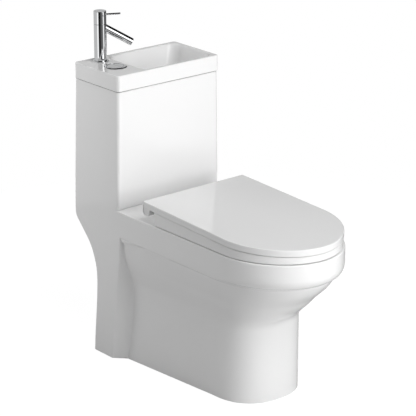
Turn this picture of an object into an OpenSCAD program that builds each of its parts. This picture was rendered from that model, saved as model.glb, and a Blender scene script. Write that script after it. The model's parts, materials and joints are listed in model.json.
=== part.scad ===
// Close-coupled toilet with a hand basin on its cistern.
// Millimetres. +Z is up, the front of the pan points along -Y and the wall is behind, at +Y.
// The floor is z = 0 and the model stands centred on the origin.

/* [Pan] */
// Overall depth from the wall plane to the front of the pan
total_depth = 800; // [780:2:820]
// Height of the pan deck above the floor
pan_height = 421; // [415:1:425]
// Half the width of the pan rim where its front arc starts
rim_half_width = 167.5; // [164:0.5:168]
// Depth of the upright band under the rim
band_height = 70; // [66:1:74]
// Half the width of the pedestal where its front arc starts
pedestal_half_width = 119; // [110:1:124]
// How far the pedestal stands back from the front of the rim
pedestal_setback = 160; // [150:1:175]
// Height at which the pedestal starts to swell out
pedestal_top = 195; // [180:1:205]
// Thickness of the fired clay walls
wall = 11; // [9:0.5:12]

/* [Cistern] */
// Clearance between the cistern side and the edge of the basin
basin_overhang = 2; // [1:0.5:4]
// Gap that shows as a dark line under the basin
seam_gap = 2; // [1.5:0.5:3]
// Distance from the basin front to the cistern front
front_reveal = 3; // [1:0.5:5]
// Outward lean of the side walls, in mm of width per mm of height
side_draft = 0.0134; // [0.008:0.0002:0.016]
// Height of the tank floor above the pan deck
tank_floor_rise = 11; // [10:1:14]
// Rear foot depth, from its front edge to its back at the floor
foot_depth = 83; // [76:1:90]
// Distance from the wall plane to the back of the foot at the floor
foot_setback = 81.5; // [76:0.5:90]

/* [Basin] */
// Height of the basin rim above the floor
basin_top = 784; // [776:2:796]
// Width of the basin
basin_width = 335; // [333:1:340]
// Depth of the basin, front to back
basin_depth = 187; // [184:1:190]
// Height of the basin side that shows
basin_height = 42; // [38:1:46]
// Radius of the upright corners of the basin
basin_corner = 9; // [4:0.5:12]
// Thickness of the basin walls and deck
basin_wall = 8; // [7:0.5:9]
// Depth of the bowl in the basin
bowl_depth = 72; // [64:1:74]
// Width of the flat deck to the left of the bowl
tap_deck_width = 93.5; // [93.5:0.5:96]
// Width of the rim to the right of the bowl
bowl_rim = 9; // [9:0.5:12]

/* [Tap] */
// Distance from the left edge of the basin to the tap
tap_inset = 58.5; // [56:0.5:60]
// Distance from the back edge of the basin to the tap
tap_back = 38; // [36:0.5:40]
// Outer radius of the tap body
tap_radius = 16.5; // [16:0.25:18]
// Height of the fixed tap body above the deck
tap_body_height = 100; // [96:1:110]
// Height of the turning cap of the tap
cap_height = 34; // [30:1:38]
// Direction of the spout in plan, in degrees from +X towards the front
spout_heading = 25; // [15:1:35]
// Downward slope of the spout in degrees
spout_slope = 31; // [25:1:35]
// Reach of the spout from the tap axis
spout_reach = 83; // [76:1:90]
// Outer radius of the spout
spout_radius = 10; // [9:0.25:11]
// Radius of the pin lever
lever_radius = 2.5; // [2:0.1:2.8]
// Reach of the pin lever from the tap axis
lever_reach = 54; // [48:1:60]

/* [Flush buttons] */
// Distance from the left edge of the basin to the button
button_inset = 55.5; // [54:0.5:57]
// Distance from the front edge of the basin to the button
button_front = 81.5; // [78:0.5:84]
// Outer radius of the chrome ring round the buttons
bezel_radius = 30; // [28:0.5:30]
// Radius of the pair of buttons
button_radius = 21.5; // [20:0.5:21.5]
// Travel of the buttons
button_travel = 6; // [4:0.5:7]

/* [Seat and lid] */
// Half the width of the lid
lid_half_width = 167.5; // [165:0.5:170]
// Length of the lid
lid_length = 502; // [496:1:504]
// Depth of the lid edge
lid_edge = 17; // [15:0.5:19]
// Height of the rear of the lid above the pan deck
lid_rise = 56.5; // [55:0.5:60]
// Fall of the lid towards the front in degrees
lid_fall = 2.2; // [1.8:0.1:2.3]
// Gap between the lid and the seat
lid_gap = 1.2; // [1:0.1:1.5]
// Gap between the seat and the pan
seat_gap = 3; // [2.5:0.5:3.5]
// Width of the seat ring at its sides
seat_ring_width = 57; // [52:1:62]
// Radius of the hinge knuckles
knuckle_radius = 13; // [12:0.25:13.5]
// Radius of the hinge pins
hinge_pin_radius = 4; // [3:0.25:5]
// Distance between the two hinge posts
hinge_spacing = 155; // [145:1:165]

/* [Hidden] */
e = 0.5;
loose = 0.3;
running = 0.08;
snug = 0.05;
round_fn = 64;

back_y = total_depth / 2;
front_y = -total_depth / 2;
basin_back = back_y - 9;
basin_front = basin_back - basin_depth;
basin_half = basin_width / 2;
basin_bottom = basin_top - basin_height;
body_top = basin_bottom - seam_gap;
cistern_front = basin_front + front_reveal;
cistern_back = basin_back + 0.5;
cistern_half = basin_half - basin_overhang;
deck_z = pan_height;
tank_floor = deck_z + tank_floor_rise;
floor_wall = 13;
under_floor = tank_floor - floor_wall;
under_deck = deck_z - floor_wall;
band_bottom = deck_z - band_height;
shelf_z = band_bottom + 36;

// The hinge line of the seat and the lid
lid_back = cistern_front - 100.5;
hinge_y = lid_back - knuckle_radius - 0.5;
lid_top = deck_z + lid_rise;
hinge_z = lid_top - 24.5;

// The tap and the buttons stand on the basin deck
tap_x = -basin_half + tap_inset;
tap_y = basin_back - tap_back;
button_x = -basin_half + button_inset;
button_y = basin_front + button_front;

china = [0.95, 0.95, 0.94];
chrome = [0.78, 0.79, 0.81];
plastic_white = [0.93, 0.93, 0.92];
plastic_grey = [0.62, 0.64, 0.66];
rubber_black = [0.12, 0.12, 0.12];
brass = [0.78, 0.66, 0.36];
steel = [0.66, 0.67, 0.69];
copper = [0.76, 0.5, 0.36];

// ---------- shared shapes ----------

// A closed skin through rings that all have the same number of points
module skin(rings) {
  n = len(rings[0]);
  m = len(rings);
  polyhedron(
    points = [for (ring = rings) each ring],
    faces = concat(
      [[for (i = [0 : n - 1]) i]],
      [for (k = [0 : m - 2], i = [0 : n - 1])
        let (j = (i + 1) % n) [k * n + i, (k + 1) * n + j, k * n + j]],
      [for (k = [0 : m - 2], i = [0 : n - 1])
        let (j = (i + 1) % n) [k * n + i, (k + 1) * n + i, (k + 1) * n + j]],
      [[for (i = [n - 1 : -1 : 0]) (m - 1) * n + i]]
    ),
    convexity = 8
  );
}

// A power with the sign kept, for the rounded D outlines
function bend(v, p) = sign(v) * pow(abs(v), p);

// D outline: an arc round the front, then straight sides back to the line y = back
function d_outline(half, centre, arc, power, slope, back, steps) = concat(
  [for (i = [0 : steps])
    let (t = 180 + 180 * i / steps)
    [half * bend(cos(t), 2 / power), centre + arc * bend(sin(t), 2 / power)]],
  [for (s = [1 / 3, 2 / 3, 1]) [half + slope * s * (back - centre), centre + s * (back - centre)]],
  [for (s = [1, 2 / 3, 1 / 3]) [-half - slope * s * (back - centre), centre + s * (back - centre)]]
);

// A full oval ring
function oval(half, centre, length, power, steps) = [
  for (i = [0 : steps - 1])
    let (t = 360 * i / steps)
    [half * bend(cos(t), 2 / power), centre + length * bend(sin(t), 2 / power)]
];

function at_height(outline, z) = [for (p = outline) [p[0], p[1], z]];

module rounded_square(x0, x1, y0, y1, r) {
  union() {
    translate([x0 + r, y0]) square([x1 - x0 - 2 * r, y1 - y0]);
    translate([x0, y0 + r]) square([x1 - x0, y1 - y0 - 2 * r]);
    for (x = [x0 + r, x1 - r])
      for (y = [y0 + r, y1 - r])
        translate([x, y]) circle(r = r, $fn = round_fn);
  }
}

module rounded_block(x0, x1, y0, y1, z0, z1, r) {
  translate([0, 0, z0])
    linear_extrude(height = z1 - z0)
      rounded_square(x0, x1, y0, y1, r);
}

// A ring that stands on z0
module tube(outer, inner, z0, z1) {
  translate([0, 0, z0])
    difference() {
      cylinder(r = outer, h = z1 - z0, $fn = round_fn);
      translate([0, 0, -e]) cylinder(r = inner, h = z1 - z0 + 2 * e, $fn = round_fn);
    }
}

module disc(radius, z0, z1) {
  translate([0, 0, z0]) cylinder(r = radius, h = z1 - z0, $fn = round_fn);
}

module hex_nut(flats, bore, z0, z1) {
  translate([0, 0, z0])
    difference() {
      cylinder(r = flats / 2 / cos(30), h = z1 - z0, $fn = 6);
      translate([0, 0, -e]) cylinder(r = bore, h = z1 - z0 + 2 * e, $fn = round_fn);
    }
}

module both_sides(x) {
  for (side = [-1, 1])
    translate([side * x, 0, 0])
      children();
}

// ---------- ceramic body: pan, pedestal, foot and cistern in one piece ----------

// Half the width of the side walls at a height
function side_half(z) = cistern_half + side_draft * (body_top - z);

pan_steps = 40;
rim_front = front_y;
ped_front = front_y + pedestal_setback;
band_front = front_y + 25;
band_half = rim_half_width - 0.5;
rim_slope = 0.005;
pan_tail = basin_front + 40;

// Swelling of the pan between the pedestal and the band:
// share of the height, of the reach, of the width, depth of the front arc, power
swell = [
  [0.11, 0.031, 0.013, 123, 2.33],
  [0.186, 0.103, 0.052, 128, 2.28],
  [0.327, 0.283, 0.18, 141, 2.2],
  [0.45, 0.432, 0.31, 153, 2.15],
  [0.564, 0.56, 0.42, 165, 2.1],
  [0.692, 0.723, 0.59, 178, 2.08],
  [0.8, 0.853, 0.745, 190, 2.06],
  [0.92, 0.955, 0.905, 204, 2.05]
];

// Half width of the recessed side wall where it meets the rear foot
function tuck_half(z) = side_half(z) - tuck(z);

// Depth of the tuck between the foot and the pan wall at a height
function tuck(z) = lookup(z, [
  [0, 29.5],
  [55, 33],
  [120, 34.5],
  [pedestal_top - 20, 34.5],
  [pedestal_top + 22, 31.4],
  [pedestal_top + 51, 24.2],
  [pedestal_top + 88, 13],
  [pedestal_top + 108, 9],
  [band_bottom - 20, 4],
  [band_bottom, 3]
]);

// How far the tuck runs on inside the pan wall, so the two cross cleanly
bite = 2;

foot_front_top = basin_front - 1.5;
foot_back_z = back_y - foot_setback;

// Front edge of the rear foot at a height
function foot_front(z) = lookup(z, [
  [0, foot_back_z - foot_depth],
  [83, foot_front_top + 25.5],
  [171, foot_front_top + 16.5],
  [245, foot_front_top + 7.3],
  [283, foot_front_top + 2.7],
  [347, foot_front_top]
]);

// Back of the rear foot at a height: upright, then curving out under the cistern
function foot_back(z) = lookup(z, [
  [0, foot_back_z],
  [55, foot_back_z - 3],
  [115, foot_back_z - 8.3],
  [173, foot_back_z - 12.2],
  [200, foot_back_z - 12.6],
  [216, foot_back_z - 11.9],
  [236, foot_back_z - 9.5],
  [256, foot_back_z - 4],
  [275, foot_back_z + 4],
  [293, foot_back_z + 13.7],
  [308, foot_back_z + 25],
  [323, foot_back_z + 40],
  [336, foot_back_z + 53],
  [348, foot_back_z + 65.5],
  [357, foot_back_z + 74],
  [363, foot_back_z + 78.5],
  [370, foot_back_z + 80.9],
  [387, back_y],
  [body_top, cistern_back]
]);

function wall_slope(half, centre, z) =
  (tuck_half(z) - half) / (foot_front(z) - tuck(z) - centre);

function pan_ring(z, half, front, arc, power, slope, inset) = at_height(
  d_outline(half - inset, front + arc, arc - inset, power, slope, pan_tail, pan_steps), z);

function pedestal_ring(z, inset) =
  let (arc = 122, centre = ped_front + arc)
  pan_ring(z, pedestal_half_width, ped_front, arc, 2.35,
    wall_slope(pedestal_half_width, centre, z), inset);

function swell_ring(row, inset) =
  let (
    z = pedestal_top + row[0] * (band_bottom - pedestal_top),
    half = pedestal_half_width + row[2] * (band_half - pedestal_half_width),
    front = ped_front + row[1] * (band_front - ped_front),
    centre = front + row[3]
  )
  pan_ring(z, half, front, row[3], row[4], wall_slope(half, centre, z), inset);

// Rounded lower and upper edges of the band: height under the deck, inset at the front and sides
band_edge = [
  [band_height, 25, 0.8],
  [band_height - 2, 18, 0.6],
  [band_height - 6, 10, 0.4],
  [band_height - 12, 4.5, 0.2],
  [band_height - 20, 1, 0],
  [band_height - 28, 0, 0],
  [3, 0, 0],
  [0.9, 0.8, 0.8],
  [0, 2.6, 2.6]
];

function band_ring(row) =
  let (front = rim_front + row[1])
  pan_ring(deck_z - row[0], rim_half_width - row[2], front, 187.5 + row[1] * 1.1 - row[2],
    1.95 + 0.004 * row[1], rim_slope, 0);

module pan_outside() {
  skin(concat(
    [for (z = [0, 60, 120, pedestal_top - 20, pedestal_top]) pedestal_ring(z, 0)],
    [for (row = swell) swell_ring(row, 0)],
    [for (row = band_edge) band_ring(row)]
  ));
}

// Section through the rear foot: square at the back, with 45 degree tucks at the front
function foot_ring(z, inset) =
  let (
    half = side_half(z) - inset,
    front = foot_front(z) + inset * tan(22.5),
    back = foot_back(z) - inset,
    r = 8,
    t = tuck(z) + bite
  )
  at_height(concat(
    [for (a = [0 : 22.5 : 90]) [half - r + r * cos(a), back - r + r * sin(a)]],
    [for (a = [90 : 22.5 : 180]) [-half + r + r * cos(a), back - r + r * sin(a)]],
    [for (a = [180 : 15 : 225]) [-half + r + r * cos(a), front + r * tan(22.5) + r * sin(a)]],
    [[-half + t, front - t], [-half + t + 6, front - t]],
    [[half - t - 6, front - t], [half - t, front - t]],
    [for (a = [315 : 15 : 360]) [half - r + r * cos(a), front + r * tan(22.5) + r * sin(a)]]
  ), z);

// Section through the cistern: a rectangle with rounded upright edges
function tower_ring(z, front) =
  let (half = side_half(z), back = foot_back(z), r = 8)
  at_height(concat(
    [for (a = [0 : 22.5 : 90]) [half - r + r * cos(a), back - r + r * sin(a)]],
    [for (a = [90 : 22.5 : 180]) [-half + r + r * cos(a), back - r + r * sin(a)]],
    [for (a = [180 : 18 : 270]) [-half + r + r * cos(a), front + r + r * sin(a)]],
    [for (a = [270 : 18 : 360]) [half - r + r * cos(a), front + r + r * sin(a)]]
  ), z);

// The front of the cistern rolls under just above the deck
roll_under = [[-12, 10], [0, 10], [3, 6.8], [7, 4.4], [14, 2.2], [24, 0.8], [39, 0]];

module rear_outside() {
  skin(concat(
    [for (z = [0, 55, 115, 173, 200, 216, 236, 256, 275, 293, 308, 323, 336, 348, 357, 363, 370, 387])
      foot_ring(z, 0)],
    [for (row = roll_under) tower_ring(deck_z + row[0], cistern_front + row[1])],
    [tower_ring(body_top, cistern_front)]
  ));
}

// The clay is hollow underneath, open to the floor
module underside_hollow() {
  skin(concat(
    [pedestal_ring(-1, wall)],
    [pedestal_ring(pedestal_top - 20, wall)],
    [for (i = [0, 2, 4, 6, 7]) swell_ring(swell[i], wall + 1)],
    [pan_ring(band_bottom + 12, rim_half_width, rim_front + 14, 190, 2, rim_slope, wall)],
    [pan_ring(under_deck, rim_half_width, rim_front, 187.5, 2, rim_slope, wall)]
  ));
  skin([for (z = [-1, 115, 200, 236, 275, 308, 336, 363, 387]) foot_ring(z, wall)]);
  hull() {
    rounded_block(-side_half(387) + wall + 1.7, side_half(387) - wall - 1.7,
      cistern_front + 21.3, back_y - wall - 2.6, deck_z - 42, deck_z - 40, 7);
    rounded_block(-side_half(387) + wall + 1.3, side_half(387) - wall - 1.3,
      cistern_front + 20.7, back_y - wall - 1.3, under_floor - 1, under_floor, 7);
  }
}

// The mouth of the bowl runs from the front of the rim to just before the hinges
mouth_front = front_y + 42;
bowl_back = hinge_y - 41;
mouth_length = (bowl_back - mouth_front) / 2;
mouth_y = mouth_front + mouth_length;

// The bowl of the pan: depth under the deck, half width, place behind the middle of its mouth
// and half length, both as shares of half the mouth, power
bowl_rows = [
  [-1, 128, 0, 1, 2.3],
  [3, 128, 0, 1, 2.3],
  [8, 124, 0, 0.98, 2.3],
  [45, 119, 0.01, 0.956, 2.25],
  [85, 106, 0.049, 0.883, 2.2],
  [125, 86, 0.141, 0.732, 2.15],
  [163, 64, 0.278, 0.546, 2.1],
  [196, 47, 0.415, 0.361, 2],
  [220, 38, 0.502, 0.254, 2],
  [236, 30, 0.532, 0.195, 2]
];
sump = bowl_rows[len(bowl_rows) - 1];
sump_y = mouth_y + sump[2] * mouth_length;

function bowl_ring(row, grow) =
  at_height(oval(row[1] + grow, mouth_y + row[2] * mouth_length, row[3] * mouth_length + grow, row[4],
    pan_steps), deck_z - row[0]);

module pan_bowl() {
  skin([for (i = [len(bowl_rows) - 1 : -1 : 0]) bowl_ring(bowl_rows[i], 0)]);
}

module pan_bowl_shell() {
  skin(concat(
    [at_height(oval(sump[1] + wall - 3, sump_y, sump[3] * mouth_length + wall - 3, 2, pan_steps),
      deck_z - sump[0] - wall)],
    [for (i = [len(bowl_rows) - 1 : -1 : 3]) bowl_ring(bowl_rows[i], wall)],
    [at_height(oval(bowl_rows[1][1] + wall, mouth_y, mouth_length + wall, 2.3, pan_steps), deck_z - 5)]
  ));
}

// Middle line of the water trap, from the sump over the weir to the outlet at the back
outlet_z = 180;
spigot_end = back_y - 52;

// A place behind the sump, as a share of the way to the end of the spigot
function trap_y(share) = sump_y + share * (spigot_end - sump_y);

trap_line = [
  [trap_y(0.0612), outlet_z + 28],
  [trap_y(0.1837), outlet_z + 46],
  [trap_y(0.2959), outlet_z + 78],
  [trap_y(0.398), outlet_z + 94],
  [trap_y(0.5), outlet_z + 82],
  [trap_y(0.5867), outlet_z + 46],
  [trap_y(0.6633), outlet_z + 14],
  [trap_y(0.7551), outlet_z],
  [trap_y(0.8776), outlet_z]
];
trap_bore = 28;

// A ring of the trap, square to its middle line
function trap_ring(k, radius) =
  let (
    p = trap_line[k],
    before = trap_line[max(k - 1, 0)],
    after = trap_line[min(k + 1, len(trap_line) - 1)],
    lean = atan2(after[1] - before[1], after[0] - before[0])
  )
  [for (i = [0 : 23])
    let (a = 15 * i, across = radius * cos(a), up = radius * sin(a))
    [across, p[0] + up * sin(lean), p[1] - up * cos(lean)]];

module trap_pipe(radius) {
  skin([for (k = [0 : len(trap_line) - 1]) trap_ring(k, radius)]);
}

// Ceramic spigot that leaves the back of the foot
spigot_radius = 45;

module along_y(x, y0, y1, z, radius, sides) {
  translate([x, y0, z])
    rotate([-90, 0, 0])
      cylinder(r = radius, h = y1 - y0, $fn = sides);
}

// Water way from the flush valve to the back of the bowl
flush_x = button_x;
flush_y = button_y;
flush_bore = 32;
duct_z = under_deck - 22;
duct = [
  [flush_x, flush_y, under_floor - 24],
  [-70, hinge_y + 97, duct_z],
  [0, hinge_y - 36, duct_z],
  [0, bowl_back + 3, duct_z],
  [0, bowl_back - 28, duct_z]
];
duct_radius = [29, 24, 19.1, 19, 17];

module flush_duct(grow, from, to) {
  for (k = [from : to - 1])
    hull() {
      translate(duct[k]) sphere(r = duct_radius[k] + grow, $fn = 14);
      translate(duct[k + 1]) sphere(r = duct_radius[k + 1] + grow, $fn = 14);
    }
}

// Water supplies come up through the tank floor
fill_x = basin_half - 57.5;
fill_y = basin_back - 46;
fill_hole = 11.5;
supply_hole = 11.5;
service_radius = 24;

// Blocks inside the foot that the floor brackets bolt to
foot_block_in = cistern_half - 47.5;
foot_block_y = back_y - 138;
foot_block_depth = 40;
foot_block_height = 70;
bracket_bolt_radius = 4;
bracket_bolt_z = 45;

// Thickened clay under each hinge hole
hinge_hole = 6;
hinge_boss = 5;
under_hinge = under_deck - hinge_boss;

module hinge_bosses() {
  for (side = [-1, 1])
    translate([side * hinge_spacing / 2, hinge_y, 0])
      hull() {
        translate([0, 0, under_hinge]) cylinder(r = 17, h = 1, $fn = 32);
        translate([0, 0, under_deck + 1]) cylinder(r = 21, h = 1, $fn = 32);
      }
}

module ceramic_body() {
  color(china)
    difference() {
      union() {
        difference() {
          union() {
            pan_outside();
            rear_outside();
          }
          underside_hollow();
        }
        pan_bowl_shell();
        hinge_bosses();
        trap_pipe(trap_bore + wall - 2);
        along_y(0, spigot_end - 86, spigot_end, outlet_z, spigot_radius, 40);
        flush_duct(8, 0, 3);
        translate([flush_x, flush_y, under_floor - 24])
          cylinder(r = flush_bore + 8, h = 30, $fn = 40);
        for (side = [-1, 1])
          intersection() {
            translate([side > 0 ? foot_block_in : -side_half(0) + 1, foot_block_y, 0])
              cube([side_half(0) - 1 - foot_block_in, foot_block_depth, foot_block_height]);
            rear_outside();
          }
      }
      // inside of the cistern
      hull() {
        rounded_block(-cistern_half + wall, cistern_half - wall,
          cistern_front + wall, cistern_back - wall, body_top - 1, body_top + 5, 8);
        rounded_block(-side_half(tank_floor) + wall, side_half(tank_floor) - wall,
          cistern_front + wall + 6, back_y - wall - 2, tank_floor, tank_floor + 12, 8);
      }
      pan_bowl();
      trap_pipe(trap_bore);
      along_y(0, spigot_end - 58, spigot_end + 1, outlet_z, trap_bore + 8, 32);
      flush_duct(0, 0, 4);
      translate([flush_x, flush_y, under_floor - 24])
        cylinder(r = flush_bore, h = 60, $fn = 40);
      for (x = [tap_x, fill_x])
        translate([x, x < 0 ? tap_y : fill_y, 240]) {
          cylinder(r = service_radius, h = 150, $fn = 32);
          cylinder(r = x < 0 ? supply_hole : fill_hole, h = tank_floor, $fn = 32);
        }
      for (side = [-1, 1]) {
        translate([side * hinge_spacing / 2, hinge_y, under_deck - 20])
          cylinder(r = hinge_hole, h = 60, $fn = 24);
        translate([side * (foot_block_in + 12), foot_block_y + foot_block_depth / 2, bracket_bolt_z])
          rotate([0, 90, 0])
            cylinder(r = bracket_bolt_radius + 0.4, h = 50, center = true, $fn = 24);
      }
    }
}

// ---------- basin ----------

bowl_left = -basin_half + tap_deck_width;
bowl_right = basin_half - bowl_rim;
bowl_near = basin_front + bowl_rim + 3;
bowl_far = basin_back - bowl_rim - 4;
bowl_floor = basin_top - bowl_depth;
deck_under = basin_top - basin_wall - 1;
waste_x = 45;
waste_y = (basin_front + basin_back) / 2 - 1;
waste_bore = 22;
tap_hole = tap_radius - 0.5;
sleeve_radius = bezel_radius - 5.5;

module bowl_plate(grow, z, left, right, near, far, r) {
  translate([0, 0, z])
    linear_extrude(height = 0.5)
      rounded_square(bowl_left + left - grow, bowl_right - right + grow,
        bowl_near + near - grow, bowl_far - far + grow, r + grow);
}

module bowl_form(grow) {
  hull() {
    bowl_plate(grow, grow > 0 ? basin_top - 8 : basin_top, 0, 0, 0, 0, 26 - grow);
    bowl_plate(grow, bowl_floor + 14 - grow, 28, 27, 17, 19, 26 - grow);
    bowl_plate(grow, bowl_floor - grow, 48, 40, 28, 30, 26 - grow);
  }
}

module basin() {
  color(china)
    difference() {
      union() {
        difference() {
          rounded_block(-basin_half, basin_half, basin_front, basin_back,
            basin_bottom, basin_top, basin_corner);
          rounded_block(-basin_half + basin_wall, basin_half - basin_wall,
            basin_front + basin_wall, basin_back - basin_wall,
            basin_bottom - e, deck_under, basin_corner - 3);
        }
        bowl_form(basin_wall - 1);
      }
      bowl_form(0);
      translate([tap_x, tap_y, deck_under - e])
        cylinder(r = tap_hole, h = basin_wall + 2, $fn = round_fn);
      translate([button_x, button_y, deck_under - e])
        cylinder(r = sleeve_radius + loose, h = basin_wall + 2, $fn = round_fn);
      translate([waste_x, waste_y, bowl_floor - basin_wall - 5])
        cylinder(r = waste_bore, h = basin_wall + 8, $fn = round_fn);
    }
}

// Rubber strip that the basin stands on; it carries the seam gap
module basin_seal() {
  color(rubber_black)
    translate([0, 0, body_top])
      linear_extrude(height = seam_gap)
        difference() {
          rounded_square(-basin_half + 3.5, basin_half - 3.5,
            basin_front + 4.5, basin_back - 3, 6);
          rounded_square(-basin_half + 7.5, basin_half - 7.5,
            basin_front + 8.5, basin_back - 7, 4);
        }
}

// ---------- tap ----------

tap_base = 3;
tap_seat = basin_top + tap_base;
cap_joint = basin_top + tap_body_height;
cap_low = cap_joint + loose;
tap_top = cap_low + cap_height;
cartridge_radius = tap_radius - 4;
cartridge_depth = 48;
stem_radius = 5;
shank_radius = tap_hole - 2;
shank_low = basin_top - 40;
supply_radius = 6;
lever_z = tap_top - 10.5;
pivot_reach = 5;
pivot_radius = 1.5;
spout_end_z = basin_top + 46;

module at_tap() {
  translate([tap_x, tap_y, 0])
    children();
}

module along_spout() {
  rotate([0, 0, -spout_heading])
    children();
}

module tap_base_ring() {
  color(chrome)
    at_tap() tube(tap_radius + 5, tap_hole, basin_top, tap_seat);
}

module tap_body() {
  color(chrome)
    at_tap()
      difference() {
        disc(tap_radius, tap_seat, cap_joint);
        disc(cartridge_radius + snug, cap_joint - cartridge_depth, cap_joint + e);
        disc(8, tap_seat - e, cap_joint - cartridge_depth + e);
      }
}

// The spout starts on the body and ends over the bowl
module spout_frame() {
  along_spout()
    translate([spout_reach, 0, spout_end_z])
      rotate([0, 90 + spout_slope, 0])
        children();
}

spout_length = spout_reach / cos(spout_slope);

module tap_spout() {
  color(chrome)
    at_tap()
      difference() {
        spout_frame()
          translate([0, 0, -spout_length])
            cylinder(r = spout_radius, h = spout_length, $fn = round_fn);
        spout_frame()
          translate([0, 0, -spout_length - e])
            cylinder(r = spout_radius - 2.5, h = spout_length + 2 * e, $fn = round_fn);
        disc(tap_radius, tap_seat, tap_top);
        along_spout()
          translate([-60, -30, basin_top])
            cube([60, 60, 200]);
      }
}

module tap_aerator() {
  color(plastic_grey)
    at_tap()
      spout_frame()
        translate([0, 0, -9])
          difference() {
            cylinder(r = spout_radius - 2.5 - snug, h = 8.5, $fn = round_fn);
            for (a = [0 : 60 : 300])
              rotate([0, 0, a])
                translate([4, 0, -e])
                  cylinder(r = 1.2, h = 10, $fn = 20);
          }
}

// Turning cap with a slot for the lever
module tap_cap() {
  color(chrome)
    at_tap()
      difference() {
        disc(tap_radius, cap_low, tap_top);
        disc(stem_radius + snug, cap_low - e, lever_z - 7);
        along_spout() {
          translate([-8, -lever_radius - loose - 0.2, lever_z - 6.5])
            cube([30, 2 * (lever_radius + loose + 0.2), 14]);
          translate([pivot_reach, 0, lever_z])
            rotate([90, 0, 0])
              cylinder(r = pivot_radius + snug, h = 50, center = true, $fn = round_fn);
        }
      }
}

module tap_lever() {
  color(chrome)
    at_tap()
      along_spout()
        difference() {
          translate([-4, 0, lever_z])
            rotate([0, 90, 0])
              cylinder(r = lever_radius, h = lever_reach + 4, $fn = round_fn);
          translate([pivot_reach, 0, lever_z])
            rotate([90, 0, 0])
              cylinder(r = pivot_radius + running, h = 20, center = true, $fn = round_fn);
        }
}

module lever_pin() {
  color(steel)
    at_tap()
      along_spout()
        translate([pivot_reach, 0, lever_z])
          rotate([90, 0, 0])
            cylinder(r = pivot_radius, h = 2 * (tap_radius - 2.5), center = true, $fn = round_fn);
}

// Ceramic disc cartridge with the stem that turns with the cap
module tap_cartridge() {
  color(plastic_grey)
    at_tap()
      difference() {
        disc(cartridge_radius, cap_joint - cartridge_depth, cap_joint - 2);
        disc(stem_radius + loose, cap_joint - 12, cap_joint);
        for (x = [-6, 6])
          translate([x, 0, cap_joint - cartridge_depth - e])
            cylinder(r = 3, h = 12, $fn = 24);
      }
}

module tap_stem() {
  color(brass)
    at_tap()
      disc(stem_radius, cap_joint - 11.5, lever_z - 7.5);
}

// Threaded shank under the tap, through the deck of the basin
module tap_shank() {
  color(brass)
    at_tap()
      tube(shank_radius, supply_radius + snug, shank_low, tap_seat);
}

module tap_gasket() {
  color(rubber_black)
    at_tap() tube(tap_hole + 6, shank_radius + loose, deck_under - 3, deck_under);
}

module tap_nut() {
  color(brass)
    at_tap() hex_nut(38, shank_radius + snug, deck_under - 13, deck_under - 3);
}

// Both supplies end under the tank floor in a thread with a relief groove under its nut
tail_length = 40;
inlet_nut = 9;
relief = 1.5;

module thread_relief(thread) {
  tube(thread + 5, thread - 0.8, under_floor - inlet_nut - 0.5 - relief, under_floor - inlet_nut - 0.5);
}

// Copper pipe from the shank down through the tank floor
supply_low = under_floor - tail_length;
supply_thread = supply_hole - 1;

module tap_supply_pipe() {
  color(copper)
    at_tap() {
      difference() {
        union() {
          disc(supply_radius, supply_low, basin_top - 6);
          disc(supply_thread, supply_low, tank_floor + 6);
          disc(supply_hole + 6, tank_floor + 3, tank_floor + 7);
        }
        disc(supply_radius - 1, supply_low - e, basin_top);
        thread_relief(supply_thread);
      }
    }
}

module supply_washer() {
  color(rubber_black)
    at_tap() tube(supply_hole + 5, supply_thread + snug, tank_floor, tank_floor + 3);
}

module supply_nut() {
  color(brass)
    at_tap() hex_nut(32, supply_thread + snug, under_floor - inlet_nut, under_floor);
}

// ---------- basin waste ----------

waste_tail_radius = 19;
waste_flange_radius = 29;
waste_neck = waste_bore - 0.6;
waste_low = bowl_floor - 58;
plug_lift = 8;

module at_waste() {
  translate([waste_x, waste_y, 0])
    children();
}

module waste_flange() {
  color(chrome)
    at_waste()
      difference() {
        union() {
          disc(waste_flange_radius, bowl_floor, bowl_floor + 2);
          disc(waste_neck, bowl_floor - basin_wall - 2, bowl_floor + 1);
        }
        disc(waste_tail_radius + snug, bowl_floor - 20, bowl_floor - 1);
        disc(waste_tail_radius - 3, bowl_floor - 20, bowl_floor + 5);
      }
}

// Press-down plug: a dome with a stem that slides in the tail
module waste_plug() {
  color(chrome)
    at_waste()
      union() {
        disc(waste_flange_radius - 4, bowl_floor + 2 + plug_lift, bowl_floor + 6 + plug_lift);
        disc(3, bowl_floor - 40, bowl_floor + 3 + plug_lift);
      }
}

module waste_tail() {
  color(brass)
    at_waste()
      union() {
        tube(waste_tail_radius, waste_tail_radius - 3, waste_low, bowl_floor - 1);
        difference() {
          disc(5.5, bowl_floor - 38, bowl_floor - 26);
          disc(3 + loose, bowl_floor - 40, bowl_floor - 20);
        }
        difference() {
          for (a = [0, 90])
            rotate([0, 0, a])
              translate([-waste_tail_radius + 1, -1.5, bowl_floor - 38])
                cube([2 * waste_tail_radius - 2, 3, 8]);
          disc(4.5, bowl_floor - 40, bowl_floor - 20);
        }
      }
}

module waste_seal() {
  color(rubber_black)
    at_waste()
      tube(waste_bore + 8, waste_neck + snug,
        bowl_floor - basin_wall - 2, bowl_floor - basin_wall + 1);
}

module waste_nut() {
  color(brass)
    at_waste()
      hex_nut(54, waste_tail_radius + snug,
        bowl_floor - basin_wall - 12, bowl_floor - basin_wall - 2);
}

// ---------- flush buttons ----------

bezel_height = 2.5;
sleeve_low = deck_under - 34;
sleeve_bore = button_radius + loose;
split_x = 5;
button_gap = 0.6;
button_top = basin_top + bezel_height - 0.5;
button_skirt = 16;
rod_radius = 3;
full_rod_x = -9;
half_rod_x = 13;
rod_low = basin_bottom - 78;

module at_button() {
  translate([button_x, button_y, 0])
    children();
}

module button_bezel() {
  color(chrome)
    at_button() tube(bezel_radius, sleeve_bore, basin_top, basin_top + bezel_height);
}

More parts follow.
